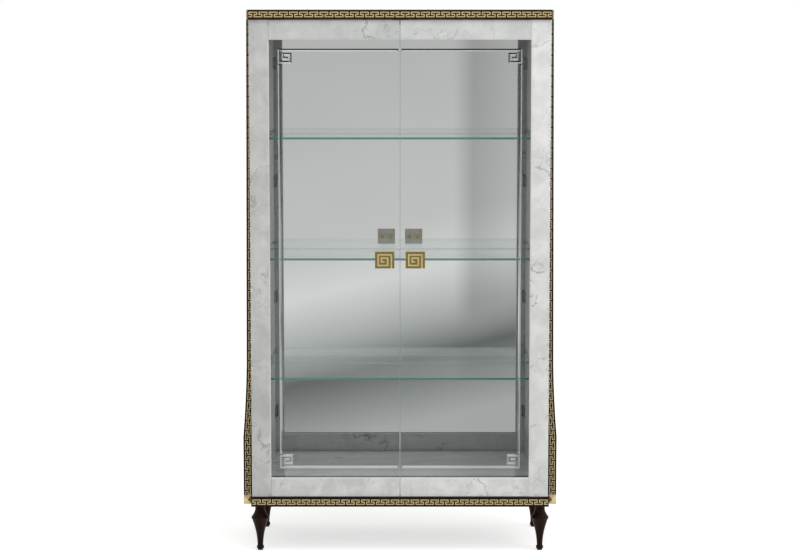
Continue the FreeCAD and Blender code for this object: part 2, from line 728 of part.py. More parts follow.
def hinge_arm(z):
    """A strap from the pin into the cabinet, turned back along the inner side to a screw plate."""
    half = KNUCKLE_TALL / 2
    x0 = X_INNER - ARM_THICKNESS
    y0, y1 = Y_AXIS - ARM_THICKNESS / 2, Y_AXIS + ARM_THICKNESS / 2
    plate_front = Y_POST + ARM_PLATE_SETBACK
    barrel = rod(KNUCKLE_RADIUS, point(X_AXIS, Y_AXIS, z - half), point(X_AXIS, Y_AXIS, z + half))
    strap = block(x0, X_AXIS, y0, y1, z - half, z + half)
    leg = block(x0, X_INNER, y0, plate_front, z - half, z + half)
    tall = ARM_PLATE_TALL / 2
    plate = block(x0, X_INNER, plate_front, plate_front + ARM_PLATE_LONG, z - tall, z + tall)
    arm = barrel.fuse([strap, leg, plate]).removeSplitter()
    holes = [screw_hole(*seat) for seat in arm_screw_seats_at(z)]
    return drilled(arm, [pin_rod(z, PIN_RADIUS + PIN_RUN_GAP, OVERRUN)] + holes)


def arm_screw_seats_at(z):
    y = Y_POST + ARM_PLATE_SETBACK + ARM_PLATE_LONG / 2
    x = X_INNER - ARM_THICKNESS - SCREW_HEAD_TALL
    return [(point(x, y, z + up * ARM_PLATE_TALL / 3), X_DIR) for up in (-1, 1)]


def arm_screw_seats():
    return [seat for z in HINGE_LEVELS for seat in arm_screw_seats_at(z)]


def cup_screw_seats_at(z):
    y = Y_DOOR_BACK - POCKET_DEPTH + CUP_PLATE + SCREW_HEAD_TALL
    x = X_INNER
    return [(point(x, y, z + up * CUP_TALL / 3), -Y_DIR) for up in (-1, 1)]


def cup_screw_seats():
    return [seat for z in HINGE_LEVELS for seat in cup_screw_seats_at(z)]


def at_hinges(make):
    return Part.makeCompound([make(z) for z in HINGE_LEVELS])


# Shelves

def shelf(z):
    half = X_INNER - SHELF_SIDE_GAP
    return block(-half, half, Y_SHELF, Y_SHELF_BACK, z, z + SHELF_THICKNESS)


def shelf_pin_places():
    """Depth and height of each pin's centre on one side."""
    drop = SHELF_PIN_RADIUS - SHELF_PIN_FLAT
    return [
        (y, z - drop)
        for z in SHELF_LEVELS
        for y in (Y_SHELF + SHELF_PIN_INSET, Y_SHELF_BACK - SHELF_PIN_INSET)
    ]


def shelf_pins():
    """Pins with a flat on top, where the glass lies."""
    pins = []
    for y, z in shelf_pin_places():
        inner, wall = point(X_INNER - SHELF_PIN_REACH, y, z), point(X_INNER, y, z)
        body = rod(SHELF_PIN_RADIUS, inner, wall)
        flat = z + SHELF_PIN_RADIUS - SHELF_PIN_FLAT
        over = SHELF_PIN_RADIUS + OVERRUN
        body = body.cut(block(inner.x - OVERRUN, wall.x + OVERRUN, y - over, y + over, flat, flat + over))
        pin = body.fuse(rod(SHELF_STEM_RADIUS, wall, wall + X_DIR * SHELF_STEM_LENGTH)).removeSplitter()
        pins += [on_side(pin, "right"), on_side(pin, "left")]
    return Part.makeCompound(pins)


def door_catch():
    half = CATCH_WIDTH / 2
    y0 = Y_DOOR_BACK + CATCH_GAP
    return block(-half, half, y0, y0 + CATCH_DEPTH, Z_CEILING - CATCH_TALL, Z_CEILING)


# Legs

def leg_places():
    return {
        f"{end}_{side}": (x, y)
        for end, y in (("front", Y_LEG_FRONT), ("rear", Y_LEG_BACK))
        for side, x in (("left", -X_LEG), ("right", X_LEG))
    }


def leg(x, y):
    """A turned leg: flange, neck, cove, collar, hollow taper, ankle and bead."""
    flange_low = LEG_HEIGHT - LEG_FLANGE_TALL
    neck_low = flange_low - LEG_NECK_TALL
    collar_high = neck_low - LEG_COVE_TALL
    collar_low = collar_high - LEG_COLLAR_TALL
    bead_high = GLIDE_TALL + LEG_BEAD_TALL
    bead_middle = GLIDE_TALL + LEG_BEAD_TALL / 2
    waist = (collar_low + bead_high) / 2
    cove = point((LEG_NECK_RADIUS * 2 + LEG_COLLAR_RADIUS) / 3, 0, (neck_low + collar_high) / 2)
    collar = point(LEG_COLLAR_RADIUS + LEG_COLLAR_TALL / 4, 0, (collar_high + collar_low) / 2)
    axis_high, axis_low = point(0, 0, LEG_HEIGHT), point(0, 0, GLIDE_TALL)
    flange_top = point(LEG_FLANGE_RADIUS, 0, LEG_HEIGHT)
    neck_top = point(LEG_NECK_RADIUS, 0, flange_low)
    neck_end = point(LEG_NECK_RADIUS, 0, neck_low)
    collar_top = point(LEG_COLLAR_RADIUS, 0, collar_high)
    collar_end = point(LEG_COLLAR_RADIUS, 0, collar_low)
    ankle = point(LEG_ANKLE_RADIUS, 0, bead_high)
    sole = point(LEG_SOLE_RADIUS, 0, GLIDE_TALL)
    outline = Part.Wire([
        Part.LineSegment(axis_high, flange_top).toShape(),
        Part.LineSegment(flange_top, neck_top).toShape(),
        Part.LineSegment(neck_top, neck_end).toShape(),
        Part.Arc(neck_end, cove, collar_top).toShape(),
        Part.Arc(collar_top, collar, collar_end).toShape(),
        Part.Arc(collar_end, point(LEG_WAIST_RADIUS, 0, waist), ankle).toShape(),
        Part.Arc(ankle, point(LEG_BEAD_RADIUS, 0, bead_middle), sole).toShape(),
        Part.LineSegment(sole, axis_low).toShape(),
        Part.LineSegment(axis_low, axis_high).toShape(),
    ])
    turned = Part.Face(outline).revolve(ORIGIN, Z_DIR, 360)
    turned.translate(point(x, y, 0))
    bore_low = point(x, y, LEG_HEIGHT - LEG_BOLT_IN_LEG - LEG_BOLT_GAP)
    return turned.cut(rod(LEG_BOLT_RADIUS + LEG_BOLT_GAP, bore_low, point(x, y, LEG_HEIGHT + OVERRUN)))


def leg_bolts():
    return Part.makeCompound([
        rod(LEG_BOLT_RADIUS, point(x, y, LEG_HEIGHT - LEG_BOLT_IN_LEG),
            point(x, y, LEG_HEIGHT + LEG_BOLT_IN_BOARD))
        for x, y in leg_places().values()
    ])


def leg_glides():
    return Part.makeCompound([
        rod(GLIDE_RADIUS, point(x, y, 0), point(x, y, GLIDE_TALL)) for x, y in leg_places().values()
    ])


# The whole cabinet

def carcass_nodes():
    nodes = {
        "top_board": top_board(),
        "bottom_board": bottom_board(),
        "floor_liner": floor_liner(),
        "corner_studs": corner_studs(),
        "back_panel": back_panel(),
        "back_screws": back_screws(),
        "back_mirror": back_mirror(),
        "top_fret": band_fret(Z_CEILING, CABINET_HEIGHT),
        "bottom_fret": band_fret(Z_BOARD, Z_BOTTOM),
        "shelf_pins": shelf_pins(),
        "door_catch": door_catch(),
        "leg_bolts": leg_bolts(),
        "leg_glides": leg_glides(),
        "hinge_arm_screws": Part.makeCompound([
            on_side(screw(*seat), side) for side in ("left", "right") for seat in arm_screw_seats()
        ]),
    }
    for side in ("left", "right"):
        nodes[f"{side}_inner_side"] = on_side(inner_side(), side)
        nodes[f"{side}_side_skin"] = on_side(side_skin(), side)
        nodes[f"{side}_front_post"] = on_side(front_post(), side)
        nodes[f"{side}_rear_post"] = on_side(rear_post(), side)
        nodes[f"{side}_side_fret"] = side_fret(side)
        nodes[f"{side}_hinge_arms"] = on_side(at_hinges(hinge_arm), side)
    for name, z in zip(("top", "middle", "bottom"), SHELF_LEVELS):
        nodes[f"{name}_shelf"] = shelf(z)
    for name, (x, y) in leg_places().items():
        nodes[f"{name}_leg"] = leg(x, y)
    return nodes


def door_nodes(side):
    x_handle = X_HANDLE if side == "right" else -X_HANDLE
    drawn = {
        "stile": stile_core(),
        "top_rail": rail_core(Z_OPENING_HIGH, Z_DOOR_HIGH, Z_OPENING_HIGH),
        "bottom_rail": rail_core(Z_DOOR_LOW, Z_OPENING_LOW, Z_OPENING_LOW),
        "stile_face": stile_face(),
        "top_rail_face": rail_face(Z_DOOR_HIGH, Z_OPENING_HIGH),
        "bottom_rail_face": rail_face(Z_DOOR_LOW, Z_OPENING_LOW),
        "glass": glass_pane(),
        "lining": back_lining(),
        "hinge_cups": at_hinges(hinge_cup),
        "hinge_pins": at_hinges(lambda z: pin_rod(z, PIN_RADIUS, 0)),
        "cup_screws": Part.makeCompound([screw(*seat) for seat in cup_screw_seats()]),
    }
    nodes = {f"{side}_door_{name}": on_side(shape, side) for name, shape in drawn.items()}
    nodes[f"{side}_door_handle"] = handle_plate(x_handle)
    nodes[f"{side}_door_handle_studs"] = handle_studs(x_handle)
    return nodes


def main():
    os.makedirs("parts", exist_ok=True)
    nodes = {**carcass_nodes(), **door_nodes("left"), **door_nodes("right")}
    for name, shape in sorted(nodes.items()):
        shape.exportStep(f"parts/{name}.step")
        volume = sum(solid.Volume for solid in shape.Solids)
        print(f"{name}: {len(shape.Solids)} solid(s), {volume:.0f} mm3, valid {shape.isValid()}")
    print(len(nodes), "nodes")


main()
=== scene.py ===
"""Studio scene of a two-door display cabinet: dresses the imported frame, lights it and sets the camera."""

from __future__ import annotations

import json
import logging
import math
from collections.abc import Sequence
from dataclasses import dataclass
from enum import Enum

import bpy
from mathutils import Matrix, Vector

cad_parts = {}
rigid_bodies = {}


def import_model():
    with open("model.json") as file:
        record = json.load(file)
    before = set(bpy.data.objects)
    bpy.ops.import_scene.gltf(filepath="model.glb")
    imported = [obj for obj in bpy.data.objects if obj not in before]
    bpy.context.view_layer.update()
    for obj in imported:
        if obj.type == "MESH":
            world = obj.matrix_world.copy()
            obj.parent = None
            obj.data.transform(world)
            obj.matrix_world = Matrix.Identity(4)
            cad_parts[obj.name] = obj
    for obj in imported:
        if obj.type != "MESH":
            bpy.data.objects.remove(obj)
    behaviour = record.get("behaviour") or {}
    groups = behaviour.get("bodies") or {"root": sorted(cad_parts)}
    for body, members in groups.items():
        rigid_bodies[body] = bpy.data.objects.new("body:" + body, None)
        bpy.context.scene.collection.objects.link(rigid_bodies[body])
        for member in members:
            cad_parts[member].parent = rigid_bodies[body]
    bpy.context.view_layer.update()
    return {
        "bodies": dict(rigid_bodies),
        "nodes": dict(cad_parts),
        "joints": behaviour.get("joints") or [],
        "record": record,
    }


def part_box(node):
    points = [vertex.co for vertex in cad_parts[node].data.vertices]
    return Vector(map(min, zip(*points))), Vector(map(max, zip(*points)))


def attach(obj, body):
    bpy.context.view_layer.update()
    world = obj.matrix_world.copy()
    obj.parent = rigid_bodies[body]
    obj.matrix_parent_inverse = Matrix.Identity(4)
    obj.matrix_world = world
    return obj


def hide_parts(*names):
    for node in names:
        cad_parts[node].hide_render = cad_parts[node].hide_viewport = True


LOG = logging.getLogger("display_cabinet")

Colour = tuple[float, float, float, float]
MM = 0.001


def linear(code: str) -> Colour:
    """Turns an sRGB hex value into linear light.

    Args:
        code: Six hex digits after a hash sign.

    Returns:
        Linear red, green and blue, and full opacity.
    """
    channels = [int(code[i:i + 2], 16) / 255 for i in (1, 3, 5)]
    red, green, blue = [c / 12.92 if c <= 0.04045 else ((c + 0.055) / 1.055) ** 2.4 for c in channels]
    return red, green, blue, 1.0


def add_node(
    tree: bpy.types.NodeTree,
    kind: str,
    sockets: dict[str | int, object] | None = None,
    stops: Sequence[tuple[float, Colour]] = (),
    **settings: object,
) -> bpy.types.Node:
    """Adds one shader node, sets it and links it.

    Args:
        tree: Node tree that takes the node.
        kind: Blender's name for the node type.
        sockets: Input name or index to a value, or to the output socket that feeds it.
        stops: Positions and colours of a colour ramp.
        settings: Properties of the node itself.

    Returns:
        The new node.
    """
    node = tree.nodes.new(kind)
    for name, value in settings.items():
        setattr(node, name, value)
    for key, value in (sockets or {}).items():
        if isinstance(value, bpy.types.NodeSocket):
            tree.links.new(value, node.inputs[key])
        else:
            node.inputs[key].default_value = value
    for index, (position, colour) in enumerate(stops):
        elements = node.color_ramp.elements
        element = elements[index] if index < len(elements) else elements.new(position)
        element.position, element.color = position, colour
    return node


def per_mm(size: float) -> float:
    """Gives the texture scale whose features are about this many millimetres across."""
    return 1.0 / (size * MM)


class Side(Enum):
    """The cabinet's two hands, as seen from the front."""

    LEFT = "left"
    RIGHT = "right"


class Axis(Enum):
    """Axes, by their place in a vector."""

    X = 0
    Y = 1
    Z = 2


@dataclass(frozen=True)
class Finish:
    """A surface finish that one Principled shader shows."""

    name: str

    def material(self) -> bpy.types.Material:
        """Builds the node material of this finish.

        Returns:
            The material, with one Principled shader.
        """
        made = bpy.data.materials.new(self.name)
        made.use_nodes = True
        tree = made.node_tree
        tree.nodes.clear()
        shader = add_node(tree, "ShaderNodeBsdfPrincipled")
        add_node(tree, "ShaderNodeOutputMaterial", {"Surface": shader.outputs["BSDF"]})
        self.dress(tree, shader)
        return made

    def dress(self, tree: bpy.types.NodeTree, shader: bpy.types.Node) -> None:
        """Adds the finish's own colour, gloss and relief.

        Args:
            tree: Node tree of the material.
            shader: Its Principled shader.
        """
        raise NotImplementedError


@dataclass(frozen=True)
class Vein:
    """One kind of vein in a marble print: its spacing, how wide a ridge of the noise it is, its strength."""

    spacing_mm: float
    width: float
    strength: float


@dataclass(frozen=True)
class MarbleLaminate(Finish):
    """Gloss laminate printed as white marble: cloudy grey, thin broken veins, and bevels painted in their own
    colour, by default paler as a painted highlight.
    """

    ground: str
    cloud: str
    bevel: float
    shift: tuple[float, float, float] = (0.0, 0.0, 0.0)
    turn: float = 0.6
    lean: tuple[float, float] = (0.3, 0.2)
    cloud_mm: float = 170.0
    puff_mm: float = 106.25
    swirl: float = 0.16
    veins: tuple[Vein, ...] = (Vein(330.0, 0.013, 0.75), Vein(120.0, 0.010, 0.5))
    vein: str = "#949695"
    # Colour painted on the bevels; the pale default is a painted highlight.
    edge: str = "#F4F4F2"

    def dress(self, tree: bpy.types.NodeTree, shader: bpy.types.Node) -> None:
        """Mixes clouds, long veins and short threads into the print.

        Args:
            tree: Node tree of the material.
            shader: Its Principled shader.
        """
        spot = add_node(tree, "ShaderNodeTexCoord").outputs["Object"]
        place = add_node(tree, "ShaderNodeMapping", {
            "Vector": spot, "Location": self.shift, "Rotation": (self.lean[0], self.turn, self.lean[1]),
        }).outputs["Vector"]
        drift = add_node(tree, "ShaderNodeTexNoise", {
            "Vector": place, "Scale": per_mm(self.cloud_mm), "Detail": 4.0, "Roughness": 0.6,
        })
        swirl = add_node(tree, "ShaderNodeVectorMath", {
            0: drift.outputs["Color"], 1: (self.swirl,) * 3, 2: place,
        }, operation="MULTIPLY_ADD").outputs["Vector"]
        clouds = add_node(tree, "ShaderNodeTexNoise", {
            "Vector": swirl, "Scale": per_mm(self.puff_mm), "Detail": 7.0, "Roughness": 0.62,
        }).outputs["Fac"]
        colour = add_node(tree, "ShaderNodeValToRGB", {"Fac": clouds}, stops=(
            (0.36, linear(self.cloud)), (0.66, linear(self.ground)),
        )).outputs["Color"]
        broken = add_node(tree, "ShaderNodeMapRange", {
            "Value": drift.outputs["Fac"], "From Min": 0.45, "From Max": 0.6,
        }).outputs["Result"]
        for vein in self.veins:
            field_of_veins = add_node(tree, "ShaderNodeTexNoise", {
                "Vector": swirl, "Scale": per_mm(vein.spacing_mm), "Detail": 5.0, "Roughness": 0.5,
            }).outputs["Fac"]
            ridge = add_node(tree, "ShaderNodeMath", {0: field_of_veins, 1: 0.5}, operation="SUBTRACT")
            ridge = add_node(tree, "ShaderNodeMath", {0: ridge.outputs[0]}, operation="ABSOLUTE")
            line = add_node(tree, "ShaderNodeMapRange", {
                "Value": ridge.outputs[0], "From Max": vein.width, "To Min": vein.strength, "To Max": 0.0,
            }, interpolation_type="SMOOTHSTEP").outputs["Result"]
            mask = add_node(tree, "ShaderNodeMath", {0: line, 1: broken}, operation="MULTIPLY").outputs[0]
            colour = add_node(tree, "ShaderNodeMix", {
                0: mask, 6: colour, 7: linear(self.vein),
            }, data_type="RGBA").outputs[2]
        # Painted light on the bevels, the faces not square to the front: by default a paler painted
        # highlight; the lining's edges take a dark painted shade.
        normal = add_node(tree, "ShaderNodeTexCoord").outputs["Normal"]
        facing = add_node(tree, "ShaderNodeSeparateXYZ", {0: normal}).outputs[Axis.Y.value]
        square = add_node(tree, "ShaderNodeMath", {0: facing}, operation="ABSOLUTE").outputs[0]
        polished = add_node(tree, "ShaderNodeMapRange", {
            "Value": square, "From Min": 0.95, "From Max": 0.99, "To Min": self.bevel, "To Max": 0.0,
        }).outputs["Result"]
        colour = add_node(tree, "ShaderNodeMix", {
            0: polished, 6: colour, 7: linear(self.edge),
        }, data_type="RGBA").outputs[2]
        tree.links.new(colour, shader.inputs["Base Color"])
        shader.inputs["Roughness"].default_value = 0.16
        shader.inputs["IOR"].default_value = 1.49
        shader.inputs["Coat Weight"].default_value = 0.35
        shader.inputs["Coat Roughness"].default_value = 0.04


@dataclass(frozen=True)
class GlossLacquer(Finish):
    """Sprayed and polished furniture lacquer: deep colour, clear gloss and a faint waviness."""

    deep: str = "#1B0E08"
    warm: str = "#2C1911"
    mottle_mm: float = 60.0
    wave_mm: float = 14.0
    smooth: float = 0.16
    rough: float = 0.26
    sheen_level: float = 0.22

    def dress(self, tree: bpy.types.NodeTree, shader: bpy.types.Node) -> None:
        """Sets a slightly uneven deep colour with a wavy gloss.

        Args:
            tree: Node tree of the material.
            shader: Its Principled shader.
        """
        spot = add_node(tree, "ShaderNodeTexCoord").outputs["Object"]
        mottle = add_node(tree, "ShaderNodeTexNoise", {
            "Vector": spot, "Scale": per_mm(self.mottle_mm), "Detail": 5.0,
        }).outputs["Fac"]
        colour = add_node(tree, "ShaderNodeValToRGB", {"Fac": mottle}, stops=(
            (0.3, linear(self.deep)), (0.7, linear(self.warm)),
        )).outputs["Color"]
        gloss = add_node(tree, "ShaderNodeMapRange", {
            "Value": mottle, "To Min": self.smooth, "To Max": self.rough,
        }).outputs["Result"]
        wave = add_node(tree, "ShaderNodeTexNoise", {
            "Vector": spot, "Scale": per_mm(self.wave_mm), "Detail": 1.0,
        }).outputs["Fac"]
        relief = add_node(tree, "ShaderNodeBump", {"Height": wave, "Strength": 0.05, "Distance": 0.0004})
        tree.links.new(colour, shader.inputs["Base Color"])
        tree.links.new(gloss, shader.inputs["Roughness"])
        tree.links.new(relief.outputs["Normal"], shader.inputs["Normal"])
        shader.inputs["IOR"].default_value = 1.5
        shader.inputs["Specular IOR Level"].default_value = self.sheen_level


@dataclass(frozen=True)
class SatinLacquer(Finish):
    """Pale sprayed lacquer of the inside: even colour, satin sheen and a fine orange-peel skin."""

    pale: str = "#B2B6B5"
    dull: str = "#A5A9A8"
    cloud_mm: float = 220.0
    peel_mm: float = 3.0

    def dress(self, tree: bpy.types.NodeTree, shader: bpy.types.Node) -> None:
        """Sets a quiet pale colour with a fine skin.

        Args:
            tree: Node tree of the material.
            shader: Its Principled shader.
        """
        spot = add_node(tree, "ShaderNodeTexCoord").outputs["Object"]
        tone = add_node(tree, "ShaderNodeTexNoise", {
            "Vector": spot, "Scale": per_mm(self.cloud_mm), "Detail": 3.0,
        })
        colour = add_node(tree, "ShaderNodeValToRGB", {"Fac": tone.outputs["Fac"]}, stops=(
            (0.3, linear(self.dull)), (0.7, linear(self.pale)),
        )).outputs["Color"]
        peel = add_node(tree, "ShaderNodeTexNoise", {
            "Vector": spot, "Scale": per_mm(self.peel_mm), "Detail": 1.0,
        })
        relief = add_node(tree, "ShaderNodeBump", {
            "Height": peel.outputs["Fac"], "Strength": 0.08, "Distance": 0.0003,
        })
        tree.links.new(colour, shader.inputs["Base Color"])
        tree.links.new(relief.outputs["Normal"], shader.inputs["Normal"])
        shader.inputs["Roughness"].default_value = 0.38


@dataclass(frozen=True)
class Gilding(Finish):
    """Champagne-gold plate, satin brushed: warm metal with fine scratches and slightly darker patches."""

    bright: str = "#EDDAAA"
    dark: str = "#D6C088"
    patch_mm: float = 9.0
    scratch_mm: float = 0.9
    stretch: float = 0.08
    smooth: float = 0.34
    dull: float = 0.46
    metal: float = 0.7

    def dress(self, tree: bpy.types.NodeTree, shader: bpy.types.Node) -> None:
        """Sets brushed gold, with scratches drawn coarser than life so that they show.

        Args:
            tree: Node tree of the material.
            shader: Its Principled shader.
        """
        spot = add_node(tree, "ShaderNodeTexCoord").outputs["Object"]
        patch = add_node(tree, "ShaderNodeTexNoise", {
            "Vector": spot, "Scale": per_mm(self.patch_mm), "Detail": 4.0,
        }).outputs["Fac"]
        colour = add_node(tree, "ShaderNodeValToRGB", {"Fac": patch}, stops=(
            (0.32, linear(self.dark)), (0.62, linear(self.bright)),
        )).outputs["Color"]
        drawn = add_node(tree, "ShaderNodeMapping", {
            "Vector": spot, "Scale": (self.stretch, 1.0, 1.0),
        }).outputs["Vector"]
        scratch = add_node(tree, "ShaderNodeTexNoise", {
            "Vector": drawn, "Scale": per_mm(self.scratch_mm), "Detail": 2.0,
        }).outputs["Fac"]
        rough = add_node(tree, "ShaderNodeMapRange", {
            "Value": scratch, "From Min": 0.3, "From Max": 0.7, "To Min": self.smooth, "To Max": self.dull,
        }).outputs["Result"]
        relief = add_node(tree, "ShaderNodeBump", {"Height": scratch, "Strength": 0.06, "Distance": 0.0002})
        tree.links.new(colour, shader.inputs["Base Color"])
        tree.links.new(rough, shader.inputs["Roughness"])
        tree.links.new(relief.outputs["Normal"], shader.inputs["Normal"])
        shader.inputs["Metallic"].default_value = self.metal


@dataclass(frozen=True)
class GildingWithPaintedLight(Gilding):
    """Antique gold plate: dark proud face, a painted highlight in the bright channel, and painted light on
    the pale cast back and its hollow, which real light barely reaches.
    """

    front_y: float = 0.0
    back_y: float = 1.0
    antique: str = "#93803F"
    # Painted highlight in the channel; painted light on the hollow and the cast back.
    channel_painted_highlight: str = "#F6E8BC"
    hollow: str = "#FFF9EA"
    back_painted_light: str = "#F6EEDC"

    def dress(self, tree: bpy.types.NodeTree, shader: bpy.types.Node) -> None:
        """Tones the plate by depth, from its proud face through to its back, painting a highlight into the
        channel and light onto the back.

        Args:
            tree: Node tree of the material.
            shader: Its Principled shader.
        """
        super().dress(tree, shader)
        patches = shader.inputs["Base Color"].links[0].from_socket
        spot = add_node(tree, "ShaderNodeTexCoord").outputs["Object"]
        depth = add_node(tree, "ShaderNodeSeparateXYZ", {0: spot}).outputs[Axis.Y.value]
        share = add_node(tree, "ShaderNodeMapRange", {
            "Value": depth, "From Min": self.front_y, "From Max": self.back_y,
        }).outputs["Result"]
        tone = add_node(tree, "ShaderNodeValToRGB", {"Fac": share}, stops=(
            (0.13, linear(self.antique)), (0.2, linear(self.channel_painted_highlight)), (0.46, linear(self.channel_painted_highlight)),
            (0.54, linear(self.hollow)), (0.78, linear(self.hollow)), (0.88, linear(self.back_painted_light)),
        )).outputs["Color"]
        # Random patches multiply the depth tones, which hold the painted highlight and the painted light.
        wear_and_painted_light = add_node(tree, "ShaderNodeMix", {
            0: 1.0, 6: tone, 7: patches,
        }, data_type="RGBA", blend_type="MULTIPLY").outputs[2]
        tree.links.new(wear_and_painted_light, shader.inputs["Base Color"])


@dataclass(frozen=True)
class EngravedGlass(Finish):
    """Clear float glass with a V engraving: colourless face, and in each cut a wall of painted shade beside a
    pale one.
    """

    clear: str = "#FEFFFE"
    # Painted shade for the cut walls that face down or outwards.
    cut_painted_shade: str = "#0A0E0E"
    ground: str = "#A3B3AF"
    frost: float = 0.1
    pale_clear: float = 0.7
    ground_clear: float = 0.35
    ground_rough: float = 0.5
    even_below: float = 0.7
    full_above: float = 1.5
    cut_band: tuple[float, float, float, float] = (0.80, 0.86, 0.95, 0.985)
    edge_band: tuple[float, float] = (0.76, 0.80)

    def dress(self, tree: bpy.types.NodeTree, shader: bpy.types.Node) -> None:
        """Paints shade on the cuts' walls that face down or outwards, least near the foot, and dulls the
        ground edges.

        Args:
            tree: Node tree of the material.
            shader: Its Principled shader.
        """
        coords = add_node(tree, "ShaderNodeTexCoord")
        facing = add_node(tree, "ShaderNodeSeparateXYZ", {0: coords.outputs["Normal"]})
        spot = add_node(tree, "ShaderNodeSeparateXYZ", {0: coords.outputs["Object"]})
        square = add_node(tree, "ShaderNodeMath", {
            0: facing.outputs[Axis.Y.value],
        }, operation="ABSOLUTE").outputs[0]
        steep_end, steep, shallow, flat = self.cut_band
        wall = add_node(tree, "ShaderNodeValToRGB", {"Fac": square}, stops=(
            (steep_end, linear("#000000")), (steep, linear("#FFFFFF")),
            (shallow, linear("#FFFFFF")), (flat, linear("#000000")),
        )).outputs["Color"]
        # Painted shade: the cut walls facing down, and those facing away from the pane's middle, are painted
        # dark, more so higher up, for the dark cabinet top seen through them.
        hand = add_node(tree, "ShaderNodeMath", {0: spot.outputs[Axis.X.value]}, operation="SIGN").outputs[0]
        hanging = add_node(tree, "ShaderNodeMath", {
            0: facing.outputs[Axis.Z.value], 1: -1.0,
        }, operation="MULTIPLY").outputs[0]
        turned = add_node(tree, "ShaderNodeMath", {
            0: facing.outputs[Axis.X.value], 1: hand, 2: hanging,
        }, operation="MULTIPLY_ADD").outputs[0]
        level = add_node(tree, "ShaderNodeMapRange", {
            "Value": spot.outputs[Axis.Z.value], "From Min": self.even_below, "From Max": self.full_above,
        }, interpolation_type="SMOOTHSTEP").outputs["Result"]
        shaded = add_node(tree, "ShaderNodeMapRange", {
            "Value": turned, "From Min": 0.0, "From Max": 0.1, "To Max": wall,
        }).outputs["Result"]
        pale = add_node(tree, "ShaderNodeMath", {0: wall, 1: shaded}, operation="SUBTRACT").outputs[0]
        cut_painted_shade = add_node(tree, "ShaderNodeMath", {0: shaded, 1: level}, operation="MULTIPLY").outputs[0]
        colour = add_node(tree, "ShaderNodeMix", {
            0: cut_painted_shade, 6: linear(self.clear), 7: linear(self.cut_painted_shade),
        }, data_type="RGBA").outputs[2]
        edge = add_node(tree, "ShaderNodeMapRange", {
            "Value": square, "From Min": self.edge_band[0], "From Max": self.edge_band[1],
            "To Min": 1.0, "To Max": 0.0,
        }).outputs["Result"]
        colour = add_node(tree, "ShaderNodeMix", {
            0: edge, 6: colour, 7: linear(self.ground),
        }, data_type="RGBA").outputs[2]
        passed = add_node(tree, "ShaderNodeMapRange", {
            "Value": pale, "To Min": 1.0, "To Max": self.pale_clear,
        }).outputs["Result"]
        passed = add_node(tree, "ShaderNodeMix", {0: edge, 2: passed, 3: self.ground_clear}).outputs[0]
        rough = add_node(tree, "ShaderNodeMath", {0: wall, 1: self.frost}, operation="MULTIPLY").outputs[0]
        rough = add_node(tree, "ShaderNodeMix", {0: edge, 2: rough, 3: self.ground_rough}).outputs[0]
        tree.links.new(colour, shader.inputs["Base Color"])
        tree.links.new(passed, shader.inputs["Transmission Weight"])
        tree.links.new(rough, shader.inputs["Roughness"])
        shader.inputs["IOR"].default_value = 1.5


@dataclass(frozen=True)
class ShelfGlass(Finish):
    """Thick float glass: clear from above and behind, deep green-blue where light leaves its front edge."""

    face: str = "#93BAB2"
    edge: str = "#2F8078"
    veil: float = 0.22
    edge_clear: float = 0.45
    edge_band: tuple[float, float] = (0.3, 0.9)
    back_from: float = 100 * MM
    back_full: float = 140 * MM

    def dress(self, tree: bpy.types.NodeTree, shader: bpy.types.Node) -> None:
        """Tints the front and side edges and leaves the flat faces and the back edge clear.

        Args:
            tree: Node tree of the material.
            shader: Its Principled shader.
        """
        normal = add_node(tree, "ShaderNodeTexCoord").outputs["Normal"]
        facing = add_node(tree, "ShaderNodeSeparateXYZ", {0: normal})
        up = add_node(tree, "ShaderNodeMath", {
            0: facing.outputs[Axis.Z.value],
        }, operation="ABSOLUTE").outputs[0]
        spot = add_node(tree, "ShaderNodeTexCoord").outputs["Object"]
        behind = add_node(tree, "ShaderNodeMapRange", {
            "Value": add_node(tree, "ShaderNodeSeparateXYZ", {0: spot}).outputs[Axis.Y.value],
            "From Min": self.back_from, "From Max": self.back_full,
        }).outputs["Result"]
        flat = add_node(tree, "ShaderNodeMath", {
            0: up, 1: facing.outputs[Axis.Y.value],
        }, operation="MAXIMUM").outputs[0]
        flat = add_node(tree, "ShaderNodeMath", {0: flat, 1: behind}, operation="MAXIMUM").outputs[0]
        low, high = self.edge_band
        colour = add_node(tree, "ShaderNodeValToRGB", {"Fac": flat}, stops=(
            (low, linear(self.edge)), (high, linear(self.face)),
        )).outputs["Color"]
        clear = add_node(tree, "ShaderNodeMapRange", {
            "Value": flat, "From Min": low, "From Max": high, "To Min": self.edge_clear, "To Max": 1.0,
        }).outputs["Result"]
        veil = add_node(tree, "ShaderNodeMapRange", {
            "Value": flat, "From Min": low, "From Max": high, "To Min": 1.0, "To Max": self.veil,
        }).outputs["Result"]
        tree.links.new(colour, shader.inputs["Base Color"])
        tree.links.new(clear, shader.inputs["Transmission Weight"])
        tree.links.new(veil, shader.inputs["Alpha"])
        shader.inputs["Roughness"].default_value = 0.03
        shader.inputs["IOR"].default_value = 1.52


@dataclass(frozen=True)
class SilveredMirror(Finish):
    """Silvered float glass: a nearly perfect, very slightly green reflection."""

    silver: str = "#F2F3F3"
    shade: str = "#EDEFEE"
    cloud_mm: float = 400.0

    def dress(self, tree: bpy.types.NodeTree, shader: bpy.types.Node) -> None:
        """Sets the silver with a barely uneven tone.

        Args:
            tree: Node tree of the material.
            shader: Its Principled shader.
        """
        spot = add_node(tree, "ShaderNodeTexCoord").outputs["Object"]
        tone = add_node(tree, "ShaderNodeTexNoise", {
            "Vector": spot, "Scale": per_mm(self.cloud_mm), "Detail": 2.0,
        })
        colour = add_node(tree, "ShaderNodeValToRGB", {"Fac": tone.outputs["Fac"]}, stops=(
            (0.3, linear(self.shade)), (0.7, linear(self.silver)),
        )).outputs["Color"]
        tree.links.new(colour, shader.inputs["Base Color"])
        shader.inputs["Metallic"].default_value = 1.0
        shader.inputs["Roughness"].default_value = 0.015


